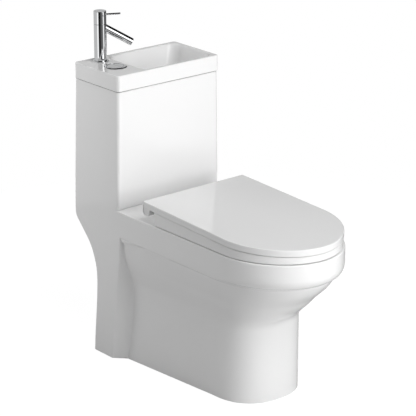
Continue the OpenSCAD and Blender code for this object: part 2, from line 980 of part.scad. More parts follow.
module button_sleeve() {
  color(plastic_white)
    at_button() tube(sleeve_radius, sleeve_bore, sleeve_low, basin_top);
}

module sleeve_nut() {
  color(plastic_grey)
    at_button() tube(bezel_radius, sleeve_radius + snug, deck_under - 12, deck_under);
}

module button_half(full) {
  edge = full ? split_x - button_gap / 2 : split_x + button_gap / 2;
  intersection() {
    difference() {
      disc(button_radius, button_top - button_skirt, button_top);
      disc(button_radius - 2, button_top - button_skirt - e, button_top - 4);
    }
    translate([full ? edge - 2 * button_radius : edge, -button_radius, button_top - button_skirt - e])
      cube([2 * button_radius, 2 * button_radius, button_skirt + 2 * e]);
  }
}

module full_flush_button() {
  color(chrome)
    at_button() button_half(true);
}

module half_flush_button() {
  color(chrome)
    at_button() button_half(false);
}

module full_push_rod() {
  color(plastic_grey)
    at_button()
      translate([full_rod_x, 0, 0]) disc(rod_radius, rod_low, button_top - 4);
}

module half_push_rod() {
  color(plastic_grey)
    at_button()
      translate([half_rod_x, 0, 0]) disc(rod_radius, rod_low, button_top - 4);
}

// ---------- flush valve ----------

base_flange = 41;
base_top = tank_floor + 3;
gasket_top = tank_floor + 3;
valve_bore = 25;
seal_radius = 30;
seal_height = 3;
cage_radius = 37;
cage_wall = 2.5;
cage_top = basin_bottom - 92;
overflow_radius = 14;
overflow_top = cage_top - 30;
piston_lift = 2 * button_travel;

module at_valve() {
  translate([flush_x, flush_y, 0])
    children();
}

module flush_gasket() {
  color(rubber_black)
    at_valve() tube(base_flange - 1, flush_bore - 2 + snug, tank_floor, gasket_top);
}

module flush_base() {
  color(plastic_white)
    at_valve()
      union() {
        tube(base_flange, valve_bore, gasket_top, gasket_top + 5);
        tube(flush_bore - 2, valve_bore, under_floor - 10, gasket_top + 1);
      }
}

seat_z = gasket_top + 5;

// Open cage that guides the overflow tube
module flush_cage() {
  color(plastic_white)
    at_valve()
      difference() {
        tube(cage_radius, cage_radius - cage_wall, seat_z, cage_top);
        for (a = [0, 90])
          rotate([0, 0, a])
            translate([-50, -18, seat_z + 6])
              cube([100, 36, 60]);
      }
}

module flush_cage_head() {
  color(plastic_grey)
    at_valve()
      difference() {
        disc(cage_radius, cage_top, cage_top + 6);
        disc(overflow_radius + loose + 1, cage_top - e, cage_top + 7);
      }
}

module flush_piston() {
  color(plastic_grey)
    at_valve()
      union() {
        tube(overflow_radius, overflow_radius - 2, seat_z + seal_height, overflow_top);
        tube(seal_radius - 3, overflow_radius - 1, seat_z + seal_height, seat_z + seal_height + 4);
        for (a = [0 : 90 : 270])
          rotate([0, 0, a])
            translate([overflow_radius - 1, -1.5, overflow_top - 40])
              cube([cage_radius - cage_wall - overflow_radius + 1 - loose - 0.2, 3, 8]);
      }
}

module flush_seal() {
  color(rubber_black)
    at_valve() tube(seal_radius, overflow_radius - 2, seat_z + 0.3, seat_z + seal_height);
}

// ---------- fill valve ----------

column_radius = 12;
fill_thread = fill_hole - 1;
column_top = basin_bottom - 74;
float_radius = 26;
float_z = column_top - 106;
float_height = 55;
float_travel = 40;

module at_fill() {
  translate([fill_x, fill_y, 0])
    children();
}

module fill_valve() {
  color(plastic_white)
    at_fill()
      difference() {
        union() {
          disc(column_radius, tank_floor + 3, column_top);
          disc(20, tank_floor + 3, tank_floor + 8);
          disc(fill_thread, under_floor - tail_length, tank_floor + 4);
        }
        disc(6, under_floor - tail_length - e, column_top - 20);
        thread_relief(fill_thread);
        for (a = [0, 90])
          rotate([0, 0, a])
            translate([-30, -3, tank_floor + 20])
              cube([60, 6, 24]);
      }
}

module fill_cap() {
  color(plastic_grey)
    at_fill()
      union() {
        disc(17, column_top, column_top + 12);
        disc(6, column_top + 12, column_top + 18);
      }
}

module fill_float() {
  color(plastic_grey)
    at_fill()
      difference() {
        disc(float_radius, float_z, float_z + float_height);
        disc(column_radius + loose, float_z - e, float_z + float_height + e);
        difference() {
          disc(float_radius - 2, float_z - e, float_z + float_height - 4);
          disc(column_radius + loose + 2, float_z - 2 * e, float_z + float_height);
        }
      }
}

module fill_washer() {
  color(rubber_black)
    at_fill() tube(18, fill_thread + snug, tank_floor, tank_floor + 3);
}

module fill_nut() {
  color(plastic_white)
    at_fill() hex_nut(32, fill_thread + snug, under_floor - inlet_nut, under_floor);
}

// ---------- seat, lid and hinges ----------

lid_front = lid_back - lid_length;
lid_arc = 185;
lid_power = 1.92;
seat_back = hinge_y - 31;
seat_bottom = deck_z + seat_gap;
knuckle_bore = hinge_pin_radius + running;
post_radius = 11.5;
post_half = 13;
seat_knuckle_in = hinge_spacing / 2 + post_half + 1;
seat_knuckle_out = seat_knuckle_in + 22;
lid_knuckle_in = seat_knuckle_out + 1;
pin_depth = 22;
lid_steps = 48;

module lid_outline(grow) {
  polygon(d_outline(lid_half_width + grow, lid_front + lid_arc, lid_arc + grow, lid_power, 0,
    lid_back, lid_steps));
}

// Everything inside leans forward with the lid, about its rear top edge
module lid_lean(down) {
  translate([0, lid_back, lid_top - down])
    rotate([lid_fall, 0, 0])
      translate([0, -lid_back, 0])
        children();
}

// The leaning space above the seat, as wide and as long as the lid and more
module lid_space(height) {
  lid_lean(lid_edge + lid_gap)
    translate([-lid_half_width - 100, lid_front - 100, 0])
      cube([2 * lid_half_width + 200, lid_length + 200, height]);
}

module along_x(x0, x1, radius) {
  translate([x0, hinge_y, hinge_z])
    rotate([0, 90, 0])
      cylinder(r = radius, h = x1 - x0, $fn = round_fn);
}

// U-shaped ear, set just inside the back of the lid
module ear_profile() {
  r = knuckle_radius + 0.5;
  polygon(concat(
    [for (a = [180 : 7.5 : 360]) [min(r * cos(a), r - 0.8), r * sin(a)]],
    [[r - 0.8, lid_edge], [-r, lid_edge]]
  ));
}

module lid() {
  color(plastic_white)
    difference() {
      union() {
        difference() {
          lid_lean(lid_edge)
            linear_extrude(height = lid_edge)
              lid_outline(0);
          lid_lean(lid_edge + e)
            linear_extrude(height = lid_edge - 4)
              difference() {
                lid_outline(-4);
                translate([-lid_half_width - 5, lid_back - 31])
                  square([2 * lid_half_width + 10, 40]);
              }
          // room for the seat knuckles and the posts
          translate([-seat_knuckle_out - 0.5, hinge_y - 40, hinge_z - 30])
            cube([2 * seat_knuckle_out + 1, 120, 30 + knuckle_radius + 1]);
        }
        // ears that wrap the hinge line at both sides
        for (side = [-1, 1])
          translate([side > 0 ? lid_knuckle_in : -lid_half_width, hinge_y, hinge_z])
            rotate([90, 0, 90])
              linear_extrude(height = lid_half_width - lid_knuckle_in)
                ear_profile();
      }
      for (side = [-1, 1])
        along_x(side > 0 ? lid_knuckle_in - e : -lid_knuckle_in - pin_depth,
          side > 0 ? lid_knuckle_in + pin_depth : -lid_knuckle_in + e, knuckle_bore);
    }
}

module seat_ring() {
  inner_half = lid_half_width - seat_ring_width;
  hole_front = lid_front + 62;
  hole_back = seat_back - 70;
  color(plastic_white)
    difference() {
      union() {
        difference() {
          translate([0, 0, seat_bottom])
            linear_extrude(height = lid_rise - seat_gap)
              difference() {
                lid_outline(-1);
                polygon(oval(inner_half, (hole_front + hole_back) / 2,
                  (hole_back - hole_front) / 2, 2.2, lid_steps));
                translate([-lid_half_width - 5, seat_back])
                  square([2 * lid_half_width + 10, 200]);
              }
          // the top follows the lid
          lid_space(100);
        }
        for (side = [-1, 1]) {
          along_x(side > 0 ? seat_knuckle_in : -seat_knuckle_out,
            side > 0 ? seat_knuckle_out : -seat_knuckle_in, knuckle_radius - 1);
          translate([side > 0 ? seat_knuckle_in : -seat_knuckle_out,
            seat_back - 2, hinge_z - knuckle_radius + 1])
            cube([seat_knuckle_out - seat_knuckle_in, hinge_y - seat_back + 2, 14]);
        }
      }
      for (side = [-1, 1])
        along_x(side > 0 ? seat_knuckle_in - e : -seat_knuckle_out - e,
          side > 0 ? seat_knuckle_out + e : -seat_knuckle_in + e, knuckle_bore);
    }
}

// Rubber feet under the seat
buffer_radius = 7;
buffer_spots = [[-138, -180], [138, -180], [-112, 20], [112, 20]];

module seat_buffers() {
  color(rubber_black)
    for (spot = buffer_spots)
      translate([spot[0], spot[1], deck_z])
        cylinder(r = buffer_radius, h = seat_gap, $fn = 32);
}

// Pads between the lid and the seat, one at each side near the front
module lid_buffers() {
  color(rubber_black)
    for (side = [-1, 1])
      intersection() {
        lid_lean(lid_edge + lid_gap)
          translate([side * 140, lid_front + 190, 0])
            cylinder(r = 6, h = lid_edge - 3, $fn = 32);
        lid_space(lid_edge + lid_gap - 4 - 0.5);
      }
}

module hinge_posts() {
  color(chrome)
    for (side = [-1, 1])
      difference() {
        union() {
          translate([side * hinge_spacing / 2, hinge_y, deck_z])
            cylinder(r = 20, h = 5, $fn = round_fn);
          translate([side * hinge_spacing / 2, hinge_y, deck_z])
            cylinder(r = post_radius, h = hinge_z - deck_z, $fn = round_fn);
          along_x(side * hinge_spacing / 2 - post_half,
            side * hinge_spacing / 2 + post_half, post_radius);
        }
        along_x(side * hinge_spacing / 2 - 30,
          side * hinge_spacing / 2 + 30, hinge_pin_radius + snug);
        translate([side * hinge_spacing / 2, hinge_y, deck_z - e])
          cylinder(r = 4 + snug, h = 14, $fn = round_fn);
      }
}

// Each pin is fixed in its post and carries the seat and the lid
module hinge_pins() {
  color(steel)
    for (side = [-1, 1])
      along_x(side > 0 ? hinge_spacing / 2 - post_half + 1 : -lid_knuckle_in - pin_depth + 2,
        side > 0 ? lid_knuckle_in + pin_depth - 2 : -hinge_spacing / 2 + post_half - 1,
        hinge_pin_radius);
}

module hinge_studs() {
  color(steel)
    for (side = [-1, 1])
      translate([side * hinge_spacing / 2, hinge_y, under_hinge - 24])
        cylinder(r = 4, h = deck_z + 12 - under_hinge + 24, $fn = round_fn);
}

module hinge_washers() {
  color(rubber_black)
    for (side = [-1, 1])
      translate([side * hinge_spacing / 2, hinge_y, 0])
        tube(12, 4 + snug, under_hinge - 3, under_hinge);
}

module hinge_nuts() {
  color(plastic_white)
    for (side = [-1, 1])
      translate([side * hinge_spacing / 2, hinge_y, 0]) {
        tube(9, 4 + snug, under_hinge - 15, under_hinge - 3);
        for (a = [0, 180])
          rotate([0, 0, a])
            translate([8, -2, under_hinge - 15])
              cube([10, 4, 10]);
      }
}

// ---------- outlet and floor fixings ----------

connector_radius = 51;
connector_bore = 47.5;
connector_start = spigot_end - 26;

module outlet_connector() {
  color(plastic_white)
    translate([0, 0, outlet_z])
      rotate([-90, 0, 0])
        tube(connector_radius, connector_bore, connector_start, back_y);
}

module outlet_seal() {
  color(rubber_black)
    translate([0, 0, outlet_z])
      rotate([-90, 0, 0])
        tube(connector_bore, spigot_radius + snug, connector_start + 2, connector_start + 20);
}

bracket_plate = 4;
bracket_width = 36;
floor_hole = 4.25;
bracket_reach = 44;

module floor_brackets() {
  color(steel)
    for (side = [-1, 1])
      difference() {
        union() {
          translate([side > 0 ? foot_block_in - bracket_reach : -foot_block_in,
            foot_block_y + 2, 0])
            cube([bracket_reach, bracket_width, bracket_plate]);
          translate([side > 0 ? foot_block_in - bracket_plate : -foot_block_in,
            foot_block_y + 2, 0])
            cube([bracket_plate, bracket_width, foot_block_height - 6]);
        }
        translate([side * (foot_block_in - bracket_reach / 2 - 4),
          foot_block_y + 2 + bracket_width / 2, -e])
          cylinder(r = floor_hole, h = bracket_plate + 2 * e, $fn = round_fn);
        translate([side * foot_block_in, foot_block_y + foot_block_depth / 2, bracket_bolt_z])
          rotate([0, 90, 0])
            cylinder(r = bracket_bolt_radius + snug, h = 20, center = true, $fn = round_fn);
      }
}

module bracket_bolts() {
  color(steel)
    for (side = [-1, 1])
      translate([side * (foot_block_in - bracket_plate),
        foot_block_y + foot_block_depth / 2, bracket_bolt_z])
        rotate([0, side * 90, 0]) {
          cylinder(r = bracket_bolt_radius, h = 24, $fn = round_fn);
          translate([0, 0, -5]) cylinder(r = 7, h = 5, $fn = 6);
        }
}

// ---------- what is shown ----------

ceramic_body();
basin();
basin_seal();
tap_base_ring();
tap_body();
tap_spout();
tap_aerator();
tap_cap();
tap_lever();
lever_pin();
tap_cartridge();
tap_stem();
tap_shank();
tap_gasket();
tap_nut();
tap_supply_pipe();
supply_washer();
supply_nut();
waste_flange();
waste_plug();
waste_tail();
waste_seal();
waste_nut();
button_bezel();
button_sleeve();
sleeve_nut();
full_flush_button();
half_flush_button();
full_push_rod();
half_push_rod();
flush_gasket();
flush_base();
flush_cage();
flush_cage_head();
flush_piston();
flush_seal();
fill_valve();
fill_cap();
fill_float();
fill_washer();
fill_nut();
seat_ring();
seat_buffers();
lid();
lid_buffers();
hinge_posts();
hinge_pins();
hinge_studs();
hinge_washers();
hinge_nuts();
outlet_connector();
outlet_seal();
floor_brackets();
bracket_bolts();
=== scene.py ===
import json
from math import acos, copysign, cos, hypot, pi, radians, sin, sqrt, tan

import bmesh
import bpy
from mathutils import Matrix, Vector
from mathutils.bvhtree import BVHTree


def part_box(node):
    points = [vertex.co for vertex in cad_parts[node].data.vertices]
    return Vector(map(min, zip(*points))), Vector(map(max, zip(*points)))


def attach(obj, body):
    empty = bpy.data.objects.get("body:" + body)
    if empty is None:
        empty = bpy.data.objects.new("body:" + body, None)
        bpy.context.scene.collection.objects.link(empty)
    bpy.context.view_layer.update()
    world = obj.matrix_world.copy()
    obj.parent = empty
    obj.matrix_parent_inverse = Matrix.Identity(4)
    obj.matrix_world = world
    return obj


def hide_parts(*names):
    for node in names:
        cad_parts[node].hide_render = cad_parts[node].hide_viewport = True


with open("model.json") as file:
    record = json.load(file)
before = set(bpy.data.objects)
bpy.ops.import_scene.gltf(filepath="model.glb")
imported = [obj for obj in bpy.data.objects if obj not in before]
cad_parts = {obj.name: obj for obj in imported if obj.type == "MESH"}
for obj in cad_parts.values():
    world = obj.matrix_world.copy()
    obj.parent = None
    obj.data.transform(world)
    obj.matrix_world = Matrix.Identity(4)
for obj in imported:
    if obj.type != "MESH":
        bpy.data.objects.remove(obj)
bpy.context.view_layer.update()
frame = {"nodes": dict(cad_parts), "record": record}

bl_info = {
    "name": "Toilet with hand basin",
    "version": (1, 0, 0),
    "blender": (4, 5, 0),
    "location": "3D View > Sidebar > Toilet",
    "description": "Glaze, plastic, chrome and studio for a toilet whose cistern carries a hand basin",
    "category": "Object",
}

MM = 0.001


# ---------- sizes and colours that a user would change ----------


def length_of(name, about, default, low, high):
    return bpy.props.FloatProperty(
        name=name, description=about, default=default * MM, min=low * MM, max=high * MM, unit="LENGTH",
    )


def colour_of(name, about, default):
    return bpy.props.FloatVectorProperty(
        name=name, description=about, subtype="COLOR", size=3, min=0.0, max=1.0, default=default,
    )


class ToiletChina(bpy.types.PropertyGroup):
    glaze: colour_of("Glaze", "Colour of the fired glaze", (0.86, 0.86, 0.86))
    rim_round: length_of("Bowl rim", "Radius of the edge where the deck turns into the bowl", 5.0, 2.0, 6.0)
    deck_round: length_of("Deck edge", "Radius of the edge round the pan deck", 3.0, 1.0, 4.0)
    cove_round: length_of("Cove", "Radius of the hollow between the pan and the rear foot", 7.0, 3.0, 16.0)
    basin_round: length_of("Basin edge", "Radius of the upper edges of the basin", 2.4, 1.0, 4.0)


class ToiletSeat(bpy.types.PropertyGroup):
    plastic: colour_of("Plastic", "Colour of the lid and the seat", (0.84, 0.84, 0.84))
    edge_round: length_of("Edge", "Radius of the upper edge of the lid", 2.5, 1.0, 4.0)


class ToiletMetal(bpy.types.PropertyGroup):
    chrome: colour_of("Chrome", "Colour of the chrome plate", (0.86, 0.87, 0.88))
    edge_round: length_of("Edge", "Radius of the turned edges of the tap and the buttons", 0.8, 0.2, 1.5)


class ToiletStage(bpy.types.PropertyGroup):
    floor: colour_of("Floor", "Colour of the studio floor", (0.6, 0.6, 0.6))
    lens: bpy.props.FloatProperty(
        name="Lens", description="Focal length of the camera in millimetres",
        default=171.117, min=50.0, max=300.0,
    )


# ---------- tools shared by the pieces ----------


def object_mode():
    if bpy.context.object and bpy.context.object.mode != "OBJECT":
        bpy.ops.object.mode_set(mode="OBJECT")


def deselect():
    object_mode()
    bpy.ops.object.select_all(action="DESELECT")


def take(piece):
    """Make one object the selected and active one."""
    deselect()
    piece.select_set(True)
    bpy.context.view_layer.objects.active = piece


def edit(piece, kind="FACE"):
    """Open a piece in edit mode with all of it selected."""
    take(piece)
    bpy.ops.object.mode_set(mode="EDIT")
    bpy.ops.mesh.select_mode(type=kind)
    bpy.ops.mesh.select_all(action="SELECT")


def use_modifier(piece, kind, **values):
    take(piece)
    modifier = piece.modifiers.new(kind.title(), kind)
    for key, value in values.items():
        setattr(modifier, key, value)
    bpy.ops.object.modifier_apply(modifier=modifier.name)


def round_edges(piece, width, angle=40.0):
    use_modifier(
        piece, "BEVEL", width=width * MM, segments=2, limit_method="ANGLE", angle_limit=radians(angle),
    )


def linked(name, data):
    """A new object in the scene."""
    piece = bpy.data.objects.new(name, data)
    bpy.context.scene.collection.objects.link(piece)
    return piece


def copy_of(node, name):
    """A copy of a frame node's mesh, with its loose triangles merged."""
    piece = linked(name, frame["nodes"][node].data.copy())
    edit(piece, "VERT")
    bpy.ops.mesh.remove_doubles(threshold=1e-6)
    object_mode()
    return piece


def rounded_copy(node, name, width):
    """A copy of a frame node with its flat triangles joined and its edges rounded."""
    piece = copy_of(node, name)
    edit(piece)
    bpy.ops.mesh.dissolve_limited(angle_limit=radians(0.5))
    object_mode()
    round_edges(piece, width)
    return piece


def coat(piece, slot):
    """Give a piece the finish of its slot and no other."""
    piece.data.materials.clear()
    piece.data.materials.append(bpy.data.materials[FINISH_NAMES[slot]])


def done(piece, body, slot, node, angle=35.0):
    """Apply the place, smooth the faces, give the finish and hang the piece on its body."""
    take(piece)
    bpy.ops.object.transform_apply(location=True, rotation=True, scale=True)
    bpy.ops.object.shade_smooth_by_angle(angle=radians(angle))
    use_modifier(piece, "WEIGHTED_NORMAL", keep_sharp=True, weight=60)
    coat(piece, slot)
    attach(piece, body)
    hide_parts(node)


def turned(name, rows, place, through=False, sides=96):
    """A turned piece: a circle that is extruded and scaled from row to row, then put in its place.
    Rows are (radius, height) in millimetres. A through piece ends on the row that it starts with."""
    deselect()
    rows = rows + rows[:1] if through else rows
    radius, height = rows[0]
    bpy.ops.mesh.primitive_circle_add(
        vertices=sides, radius=radius * MM, fill_type="NOTHING" if through else "NGON",
        location=(0, 0, height * MM),
    )
    piece = bpy.context.object
    piece.name = piece.data.name = name
    bpy.ops.object.transform_apply(location=True, rotation=True, scale=True)
    edit(piece, "EDGE" if through else "FACE")
    extrude = bpy.ops.mesh.extrude_edges_move if through else bpy.ops.mesh.extrude_region_move
    for next_radius, next_height in rows[1:]:
        extrude(TRANSFORM_OT_translate={"value": (0, 0, (next_height - height) * MM)})
        share = next_radius / radius
        bpy.ops.transform.resize(value=(share, share, 1), center_override=(0, 0, 0))
        radius, height = next_radius, next_height
    bpy.ops.mesh.select_all(action="SELECT")
    bpy.ops.mesh.remove_doubles(threshold=1e-6)
    bpy.ops.mesh.normals_make_consistent(inside=False)
    object_mode()
    return placed(piece, place)


def placed(piece, matrix):
    piece.matrix_world = matrix
    take(piece)
    bpy.ops.object.transform_apply(location=True, rotation=True, scale=True)
    return piece


def cut(piece, tool):
    use_modifier(piece, "BOOLEAN", object=tool, operation="DIFFERENCE", solver="EXACT")
    bpy.data.objects.remove(tool)


def centre_of(node):
    low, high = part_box(node)
    return (low + high) / 2


# ---------- curves of the fired clay ----------


def smooth(table, at):
    """A curve through a table's rows that doesn't overshoot them. Each row is (place, value, ...)."""
    if not table[0][0] < at < table[-1][0]:
        return table[0 if at <= table[0][0] else -1][1:]
    k = next(i for i in range(len(table) - 1) if at <= table[i + 1][0])
    span = table[k + 1][0] - table[k][0]
    t = (at - table[k][0]) / span

    def rise(i, c):
        return (table[i][c] - table[i - 1][c]) / (table[i][0] - table[i - 1][0])

    def slope(i, c):
        if i <= 0 or i >= len(table) - 1:
            return rise(min(max(i, 1), len(table) - 1), c)
        before, after = rise(i, c), rise(i + 1, c)
        return 2 * before * after / (before + after) if before * after > 0 else 0.0

    out = []
    for c in range(1, len(table[0])):
        a, b = table[k][c], table[k + 1][c]
        p, q = slope(k, c) * span, slope(k + 1, c) * span
        out.append(
            a * (2 * t**3 - 3 * t**2 + 1) + p * (t**3 - 2 * t**2 + t)
            + b * (3 * t**2 - 2 * t**3) + q * (t**3 - t**2)
        )
    return out


def bend(value, power):
    return copysign(abs(value) ** power, value)


def loft(mesh, rings):
    """Quads between closed rows of points that all have the same number. Returns the rows of vertices."""
    rows = [[p if isinstance(p, bmesh.types.BMVert) else mesh.verts.new(p) for p in ring] for ring in rings]
    for low, high in zip(rows, rows[1:]):
        for i in range(len(low)):
            j = (i + 1) % len(low)
            mesh.faces.new((low[i], low[j], high[j], high[i]))
    return rows


def fill_where(mesh, test):
    """Fill between the open edges that have both ends where a test says."""
    edges = [
        e for e in mesh.edges
        if len(e.link_faces) == 1 and test(e.verts[0].co) and test(e.verts[1].co)
    ]
    bmesh.ops.triangle_fill(mesh, use_beauty=True, use_dissolve=False, edges=edges)


def fill_level(mesh, z):
    fill_where(mesh, lambda p: abs(p.z - z * MM) < 1e-7)


def arc(x, y, r, start, step, count):
    """Points along an arc, from a start angle in degrees on."""
    turns = [radians(start + step * k) for k in range(count)]
    return [(x + r * cos(a), y + r * sin(a)) for a in turns]


def oval(half, centre, length, power, start=0, step=4.5, count=80):
    """Points round an oval about the middle line, as arc gives them. A power over 2 squares it."""
    turns = [radians(start + step * k) for k in range(count)]
    return [(half * bend(cos(t), 2 / power), centre + length * bend(sin(t), 2 / power)) for t in turns]


def quarter(radius, steps=4):
    """Rows of a quarter round: (how far in, how far up) from the side to the top."""
    return [(radius - x, y) for x, y in arc(0, 0, radius, 0, 90 / steps, steps + 1)]


def at_height(points, z):
    return [(x * MM, y * MM, z * MM) for x, y in points]


# cosine of the widest angle between two faces that look the same way
SAME_WAY = 0.6


def dressed_shell(node, name, mesh, reach=4.5):
    """Join a modelled skin with the part of its frame node that lies behind it.
    The node's faces that the skin covers within its reach, in millimetres, are left out."""
    bmesh.ops.recalc_face_normals(mesh, faces=mesh.faces)
    tree = BVHTree.FromBMesh(mesh)
    inner = copy_of(node, name + "_behind")
    work = bmesh.new()
    work.from_mesh(inner.data)
    near = {v: tree.find_nearest(v.co, reach * MM)[0] is not None for v in work.verts}
    covered = []
    for face in work.faces:
        if all(near[v] for v in face.verts):
            place, normal, _, _ = tree.find_nearest(face.calc_center_median(), reach * MM)
            if place is not None and normal.dot(face.normal) > SAME_WAY:
                covered.append(face)
    bmesh.ops.delete(work, geom=covered, context="FACES")
    work.to_mesh(inner.data)
    work.free()
    data = bpy.data.meshes.new(name)
    mesh.to_mesh(data)
    mesh.free()
    piece = linked(name, data)
    take(piece)
    inner.select_set(True)
    bpy.ops.object.join()
    return piece


DECK = 421.0
BODY_TOP = 740.0
CORNER = 8.0

# height, half width, front, depth of the front arc, power
PAN_ROWS = [
    (0, 119, -240, 122, 2.35), (196, 119, -240, 122, 2.35), (204, 119.1, -240.8, 122.3, 2.34),
    (212.2, 119.6, -244.2, 123, 2.33), (218, 120.4, -248.6, 125, 2.31), (224, 121.5, -254, 128, 2.28),
    (235, 124.3, -265.7, 134, 2.24), (246, 127.6, -278.3, 141, 2.2), (265.2, 133.8, -298.6, 153, 2.15),
    (283, 139, -315.9, 165, 2.1), (303, 147.1, -338, 178, 2.08), (319.8, 153.6, -355.6, 190, 2.06),
    (338.5, 160.4, -369.5, 204, 2.05), (346, 162.6, -372.8, 209, 2.05), (349.5, 164.6, -374, 212, 2.05),
]
BAND_ROWS = [
    (351, 166.7, -375.6, 214.2, 2.05), (352.2, 166.8, -380.5, 209.5, 2.03),
    (354.5, 166.95, -386.5, 202.5, 2.01), (358, 167.15, -391.5, 196.8, 1.985),
    (363, 167.3, -395.6, 192.2, 1.968), (370, 167.45, -398.7, 188.9, 1.955),
    (379, 167.5, -400, 187.5, 1.95), (421, 167.5, -400, 187.5, 1.95),
]
TUCK_ROWS = [
    (0, 29.5), (55, 33), (120, 34.5), (175, 34.5), (217, 31.4), (246, 24.2), (283, 14.5), (303, 11.4),
    (325, 9), (344, 7.6), (351, 6), (421, 3.2),
]
FOOT_FRONT_ROWS = [
    (0, 235.5), (83, 228), (171, 219), (245, 209.8), (283, 205.2), (347, 202.5), (387, 202.5), (409, 221.7),
    (421, 221.7),
]
BACK_ROWS = [
    (0, 318.5), (55, 315.5), (115, 310.2), (173, 306.3), (200, 305.9), (216, 306.6), (236, 309),
    (256, 314.5), (275, 322.5), (293, 332.2), (308, 343.5), (323, 358.5), (336, 371.5), (348, 384),
    (357, 392.5), (363, 397), (370, 399.4), (387, 400), (740, 391.5),
]
BACK_PLACES = (140, 115, 90, 70, 56, 49, 42, 35, 28, 21, 14, 7, 0)
# depth under the deck, half width, shift back and half length as shares, power
BOWL_ROWS = [
    (5, 127.2, 0, 0.996, 2.3), (8, 124.4, 0, 0.981, 2.3), (14, 122.8, 0, 0.974, 2.29),
    (45, 119, 0.01, 0.956, 2.25), (85, 106, 0.049, 0.883, 2.2), (125, 86, 0.141, 0.732, 2.15),
    (163, 64, 0.278, 0.546, 2.1),
]
BOWL_Y, BOWL_LENGTH = -153, 205
BOWL_DEPTHS = (6.5, 8, 11, 14, 20, 28, 36, 45, 55, 65, 75, 85, 95, 105, 115, 125, 134, 144, 154, 163)
# height and radius of the hole for the outlet, and the least y of the wall that it goes through
OUTLET_Z, OUTLET_CUT, OUTLET_NEAR = 180, 41, 290
# height above the deck, how far the front of the cistern rolls back
ROLL_ROWS = [(0, 6.5), (1.5, 5), (3, 4), (7, 2.4), (14, 1.1), (24, 0.4), (39, 0)]
# height where the pan ends and its rim begins, and how much the pan widens to the rear
BAND_LOW, PAN_TAPER = 349.5, 0.005
# half width of the cistern at its top and how much it widens downward, and its front
SIDE_TOP, SIDE_LEAN, TOWER_FRONT = 165.5, 0.0134, 207
# heights between which the hollow beside the foot runs out under the rim, and where along the side
MERGE_LOW, MERGE_HIGH, MERGE_START, MERGE_RUN = 346, 352.5, 120, 128
LEAST_TUCK = 2.7
FRONT_STEPS = 28
RUN_SHARES = (0.12, 0.25, 0.38, 0.5, 0.62, 0.74, 0.85, 0.94)
COVE_SHARES = (0.0, 0.25, 0.5, 0.75, 1.0)
SIDE_SHARES = (0.2, 0.4, 0.6, 0.8)
# where the corner of the foot begins among the outline's points
CORNER_AT = FRONT_STEPS + 1 + len(RUN_SHARES) + len(COVE_SHARES)


def ease_in(share):
    share = max(0.0, min(1.0, share))
    return share * share * (3 - 2 * share)


def side_half(z):
    return SIDE_TOP + SIDE_LEAN * (BODY_TOP - z)


def to_the_back(side, low, back):
    """From a front corner along the side and round the rear corner to the middle of the back."""
    high = back - CORNER
    along = [(side, low + share * (high - low)) for share in SIDE_SHARES]
    return along + arc(side - CORNER, high, CORNER, 0, 15, 7) + [(x, back) for x in BACK_PLACES]


def body_side(z, inset, cove):
    """The right half of the body's outline at a height, from mid front to mid back."""
    half, front, deep, power = smooth(PAN_ROWS if z < BAND_LOW else BAND_ROWS, z)
    half, front, deep = half - inset, front + inset, deep - inset
    centre = front + deep
    side, foot = side_half(z), smooth(FOOT_FRONT_ROWS, z)[0]
    tuck = smooth(TUCK_ROWS, z)[0] if z < BAND_LOW else side - (half + PAN_TAPER * (foot - centre))
    tuck = max(tuck, LEAST_TUCK)
    meet = Vector((side - tuck, foot - tuck))
    start = Vector((half, centre))
    diagonal, eighth = sqrt(0.5), tan(radians(22.5))
    slant = Vector((diagonal, diagonal))
    corner = Vector((side - CORNER + CORNER * diagonal, foot + CORNER * (eighth - diagonal)))
    along = (meet - start).normalized()
    turn = acos(max(-1.0, min(1.0, along.dot(slant))))
    ease = min(cove * tan(turn / 2), 0.85 * (corner - meet).length)
    points = oval(half, centre, deep, power, 270, 90 / FRONT_STEPS, FRONT_STEPS + 1)
    first, last = meet - along * ease, meet + slant * ease
    points += [tuple(start.lerp(first, share)) for share in RUN_SHARES]
    points += [tuple(first * (1 - t) ** 2 + meet * 2 * t * (1 - t) + last * t * t) for t in COVE_SHARES]
    low = foot + CORNER * eighth
    points += arc(side - CORNER, low, CORNER, 315, 11.25, 5)
    # beside the rim the pan runs into the foot with no step
    merge = ease_in((z - MERGE_LOW) / (MERGE_HIGH - MERGE_LOW))
    if merge > 0:
        for k in range(FRONT_STEPS + 1, len(points)):
            x, y = points[k]
            flow = ease_in((y - (foot - MERGE_START)) / MERGE_RUN)
            wall = half + PAN_TAPER * (y - centre)
            points[k] = (x + merge * (wall + flow * (side - wall) - x), y)
    return points + to_the_back(side, low, smooth(BACK_ROWS, z)[0])


def body_ring(z, inset, cove):
    right = body_side(z, inset, cove)
    return at_height(right + [(-x, y) for x, y in right[-2:0:-1]], z)


def tower_side(z):
    """The right half of the cistern's outline, from its front corner to mid back."""
    side, front = side_half(z), TOWER_FRONT + smooth(ROLL_ROWS, z - DECK)[0]
    points = arc(side - CORNER, front + CORNER, CORNER, 270, 11.25, 9)
    return points + to_the_back(side, front + CORNER, smooth(BACK_ROWS, z)[0]), front


def tower_ring(z):
    right, front = tower_side(z)
    left = [(-x, y) for x, y in right[:-1]]
    reach = right[0][0]
    middle = [(-reach + 2 * reach * k / 14, front) for k in range(1, 14)]
    return at_height(right + left[::-1] + middle, z)


def bowl_ring(depth, grow=0.0, shape=None):
    half, shift, length, power = shape or smooth(BOWL_ROWS, depth)
    half, length, centre = half + grow, length * BOWL_LENGTH + grow, BOWL_Y + shift * BOWL_LENGTH
    return at_height(oval(half, centre, length, power), DECK - depth)


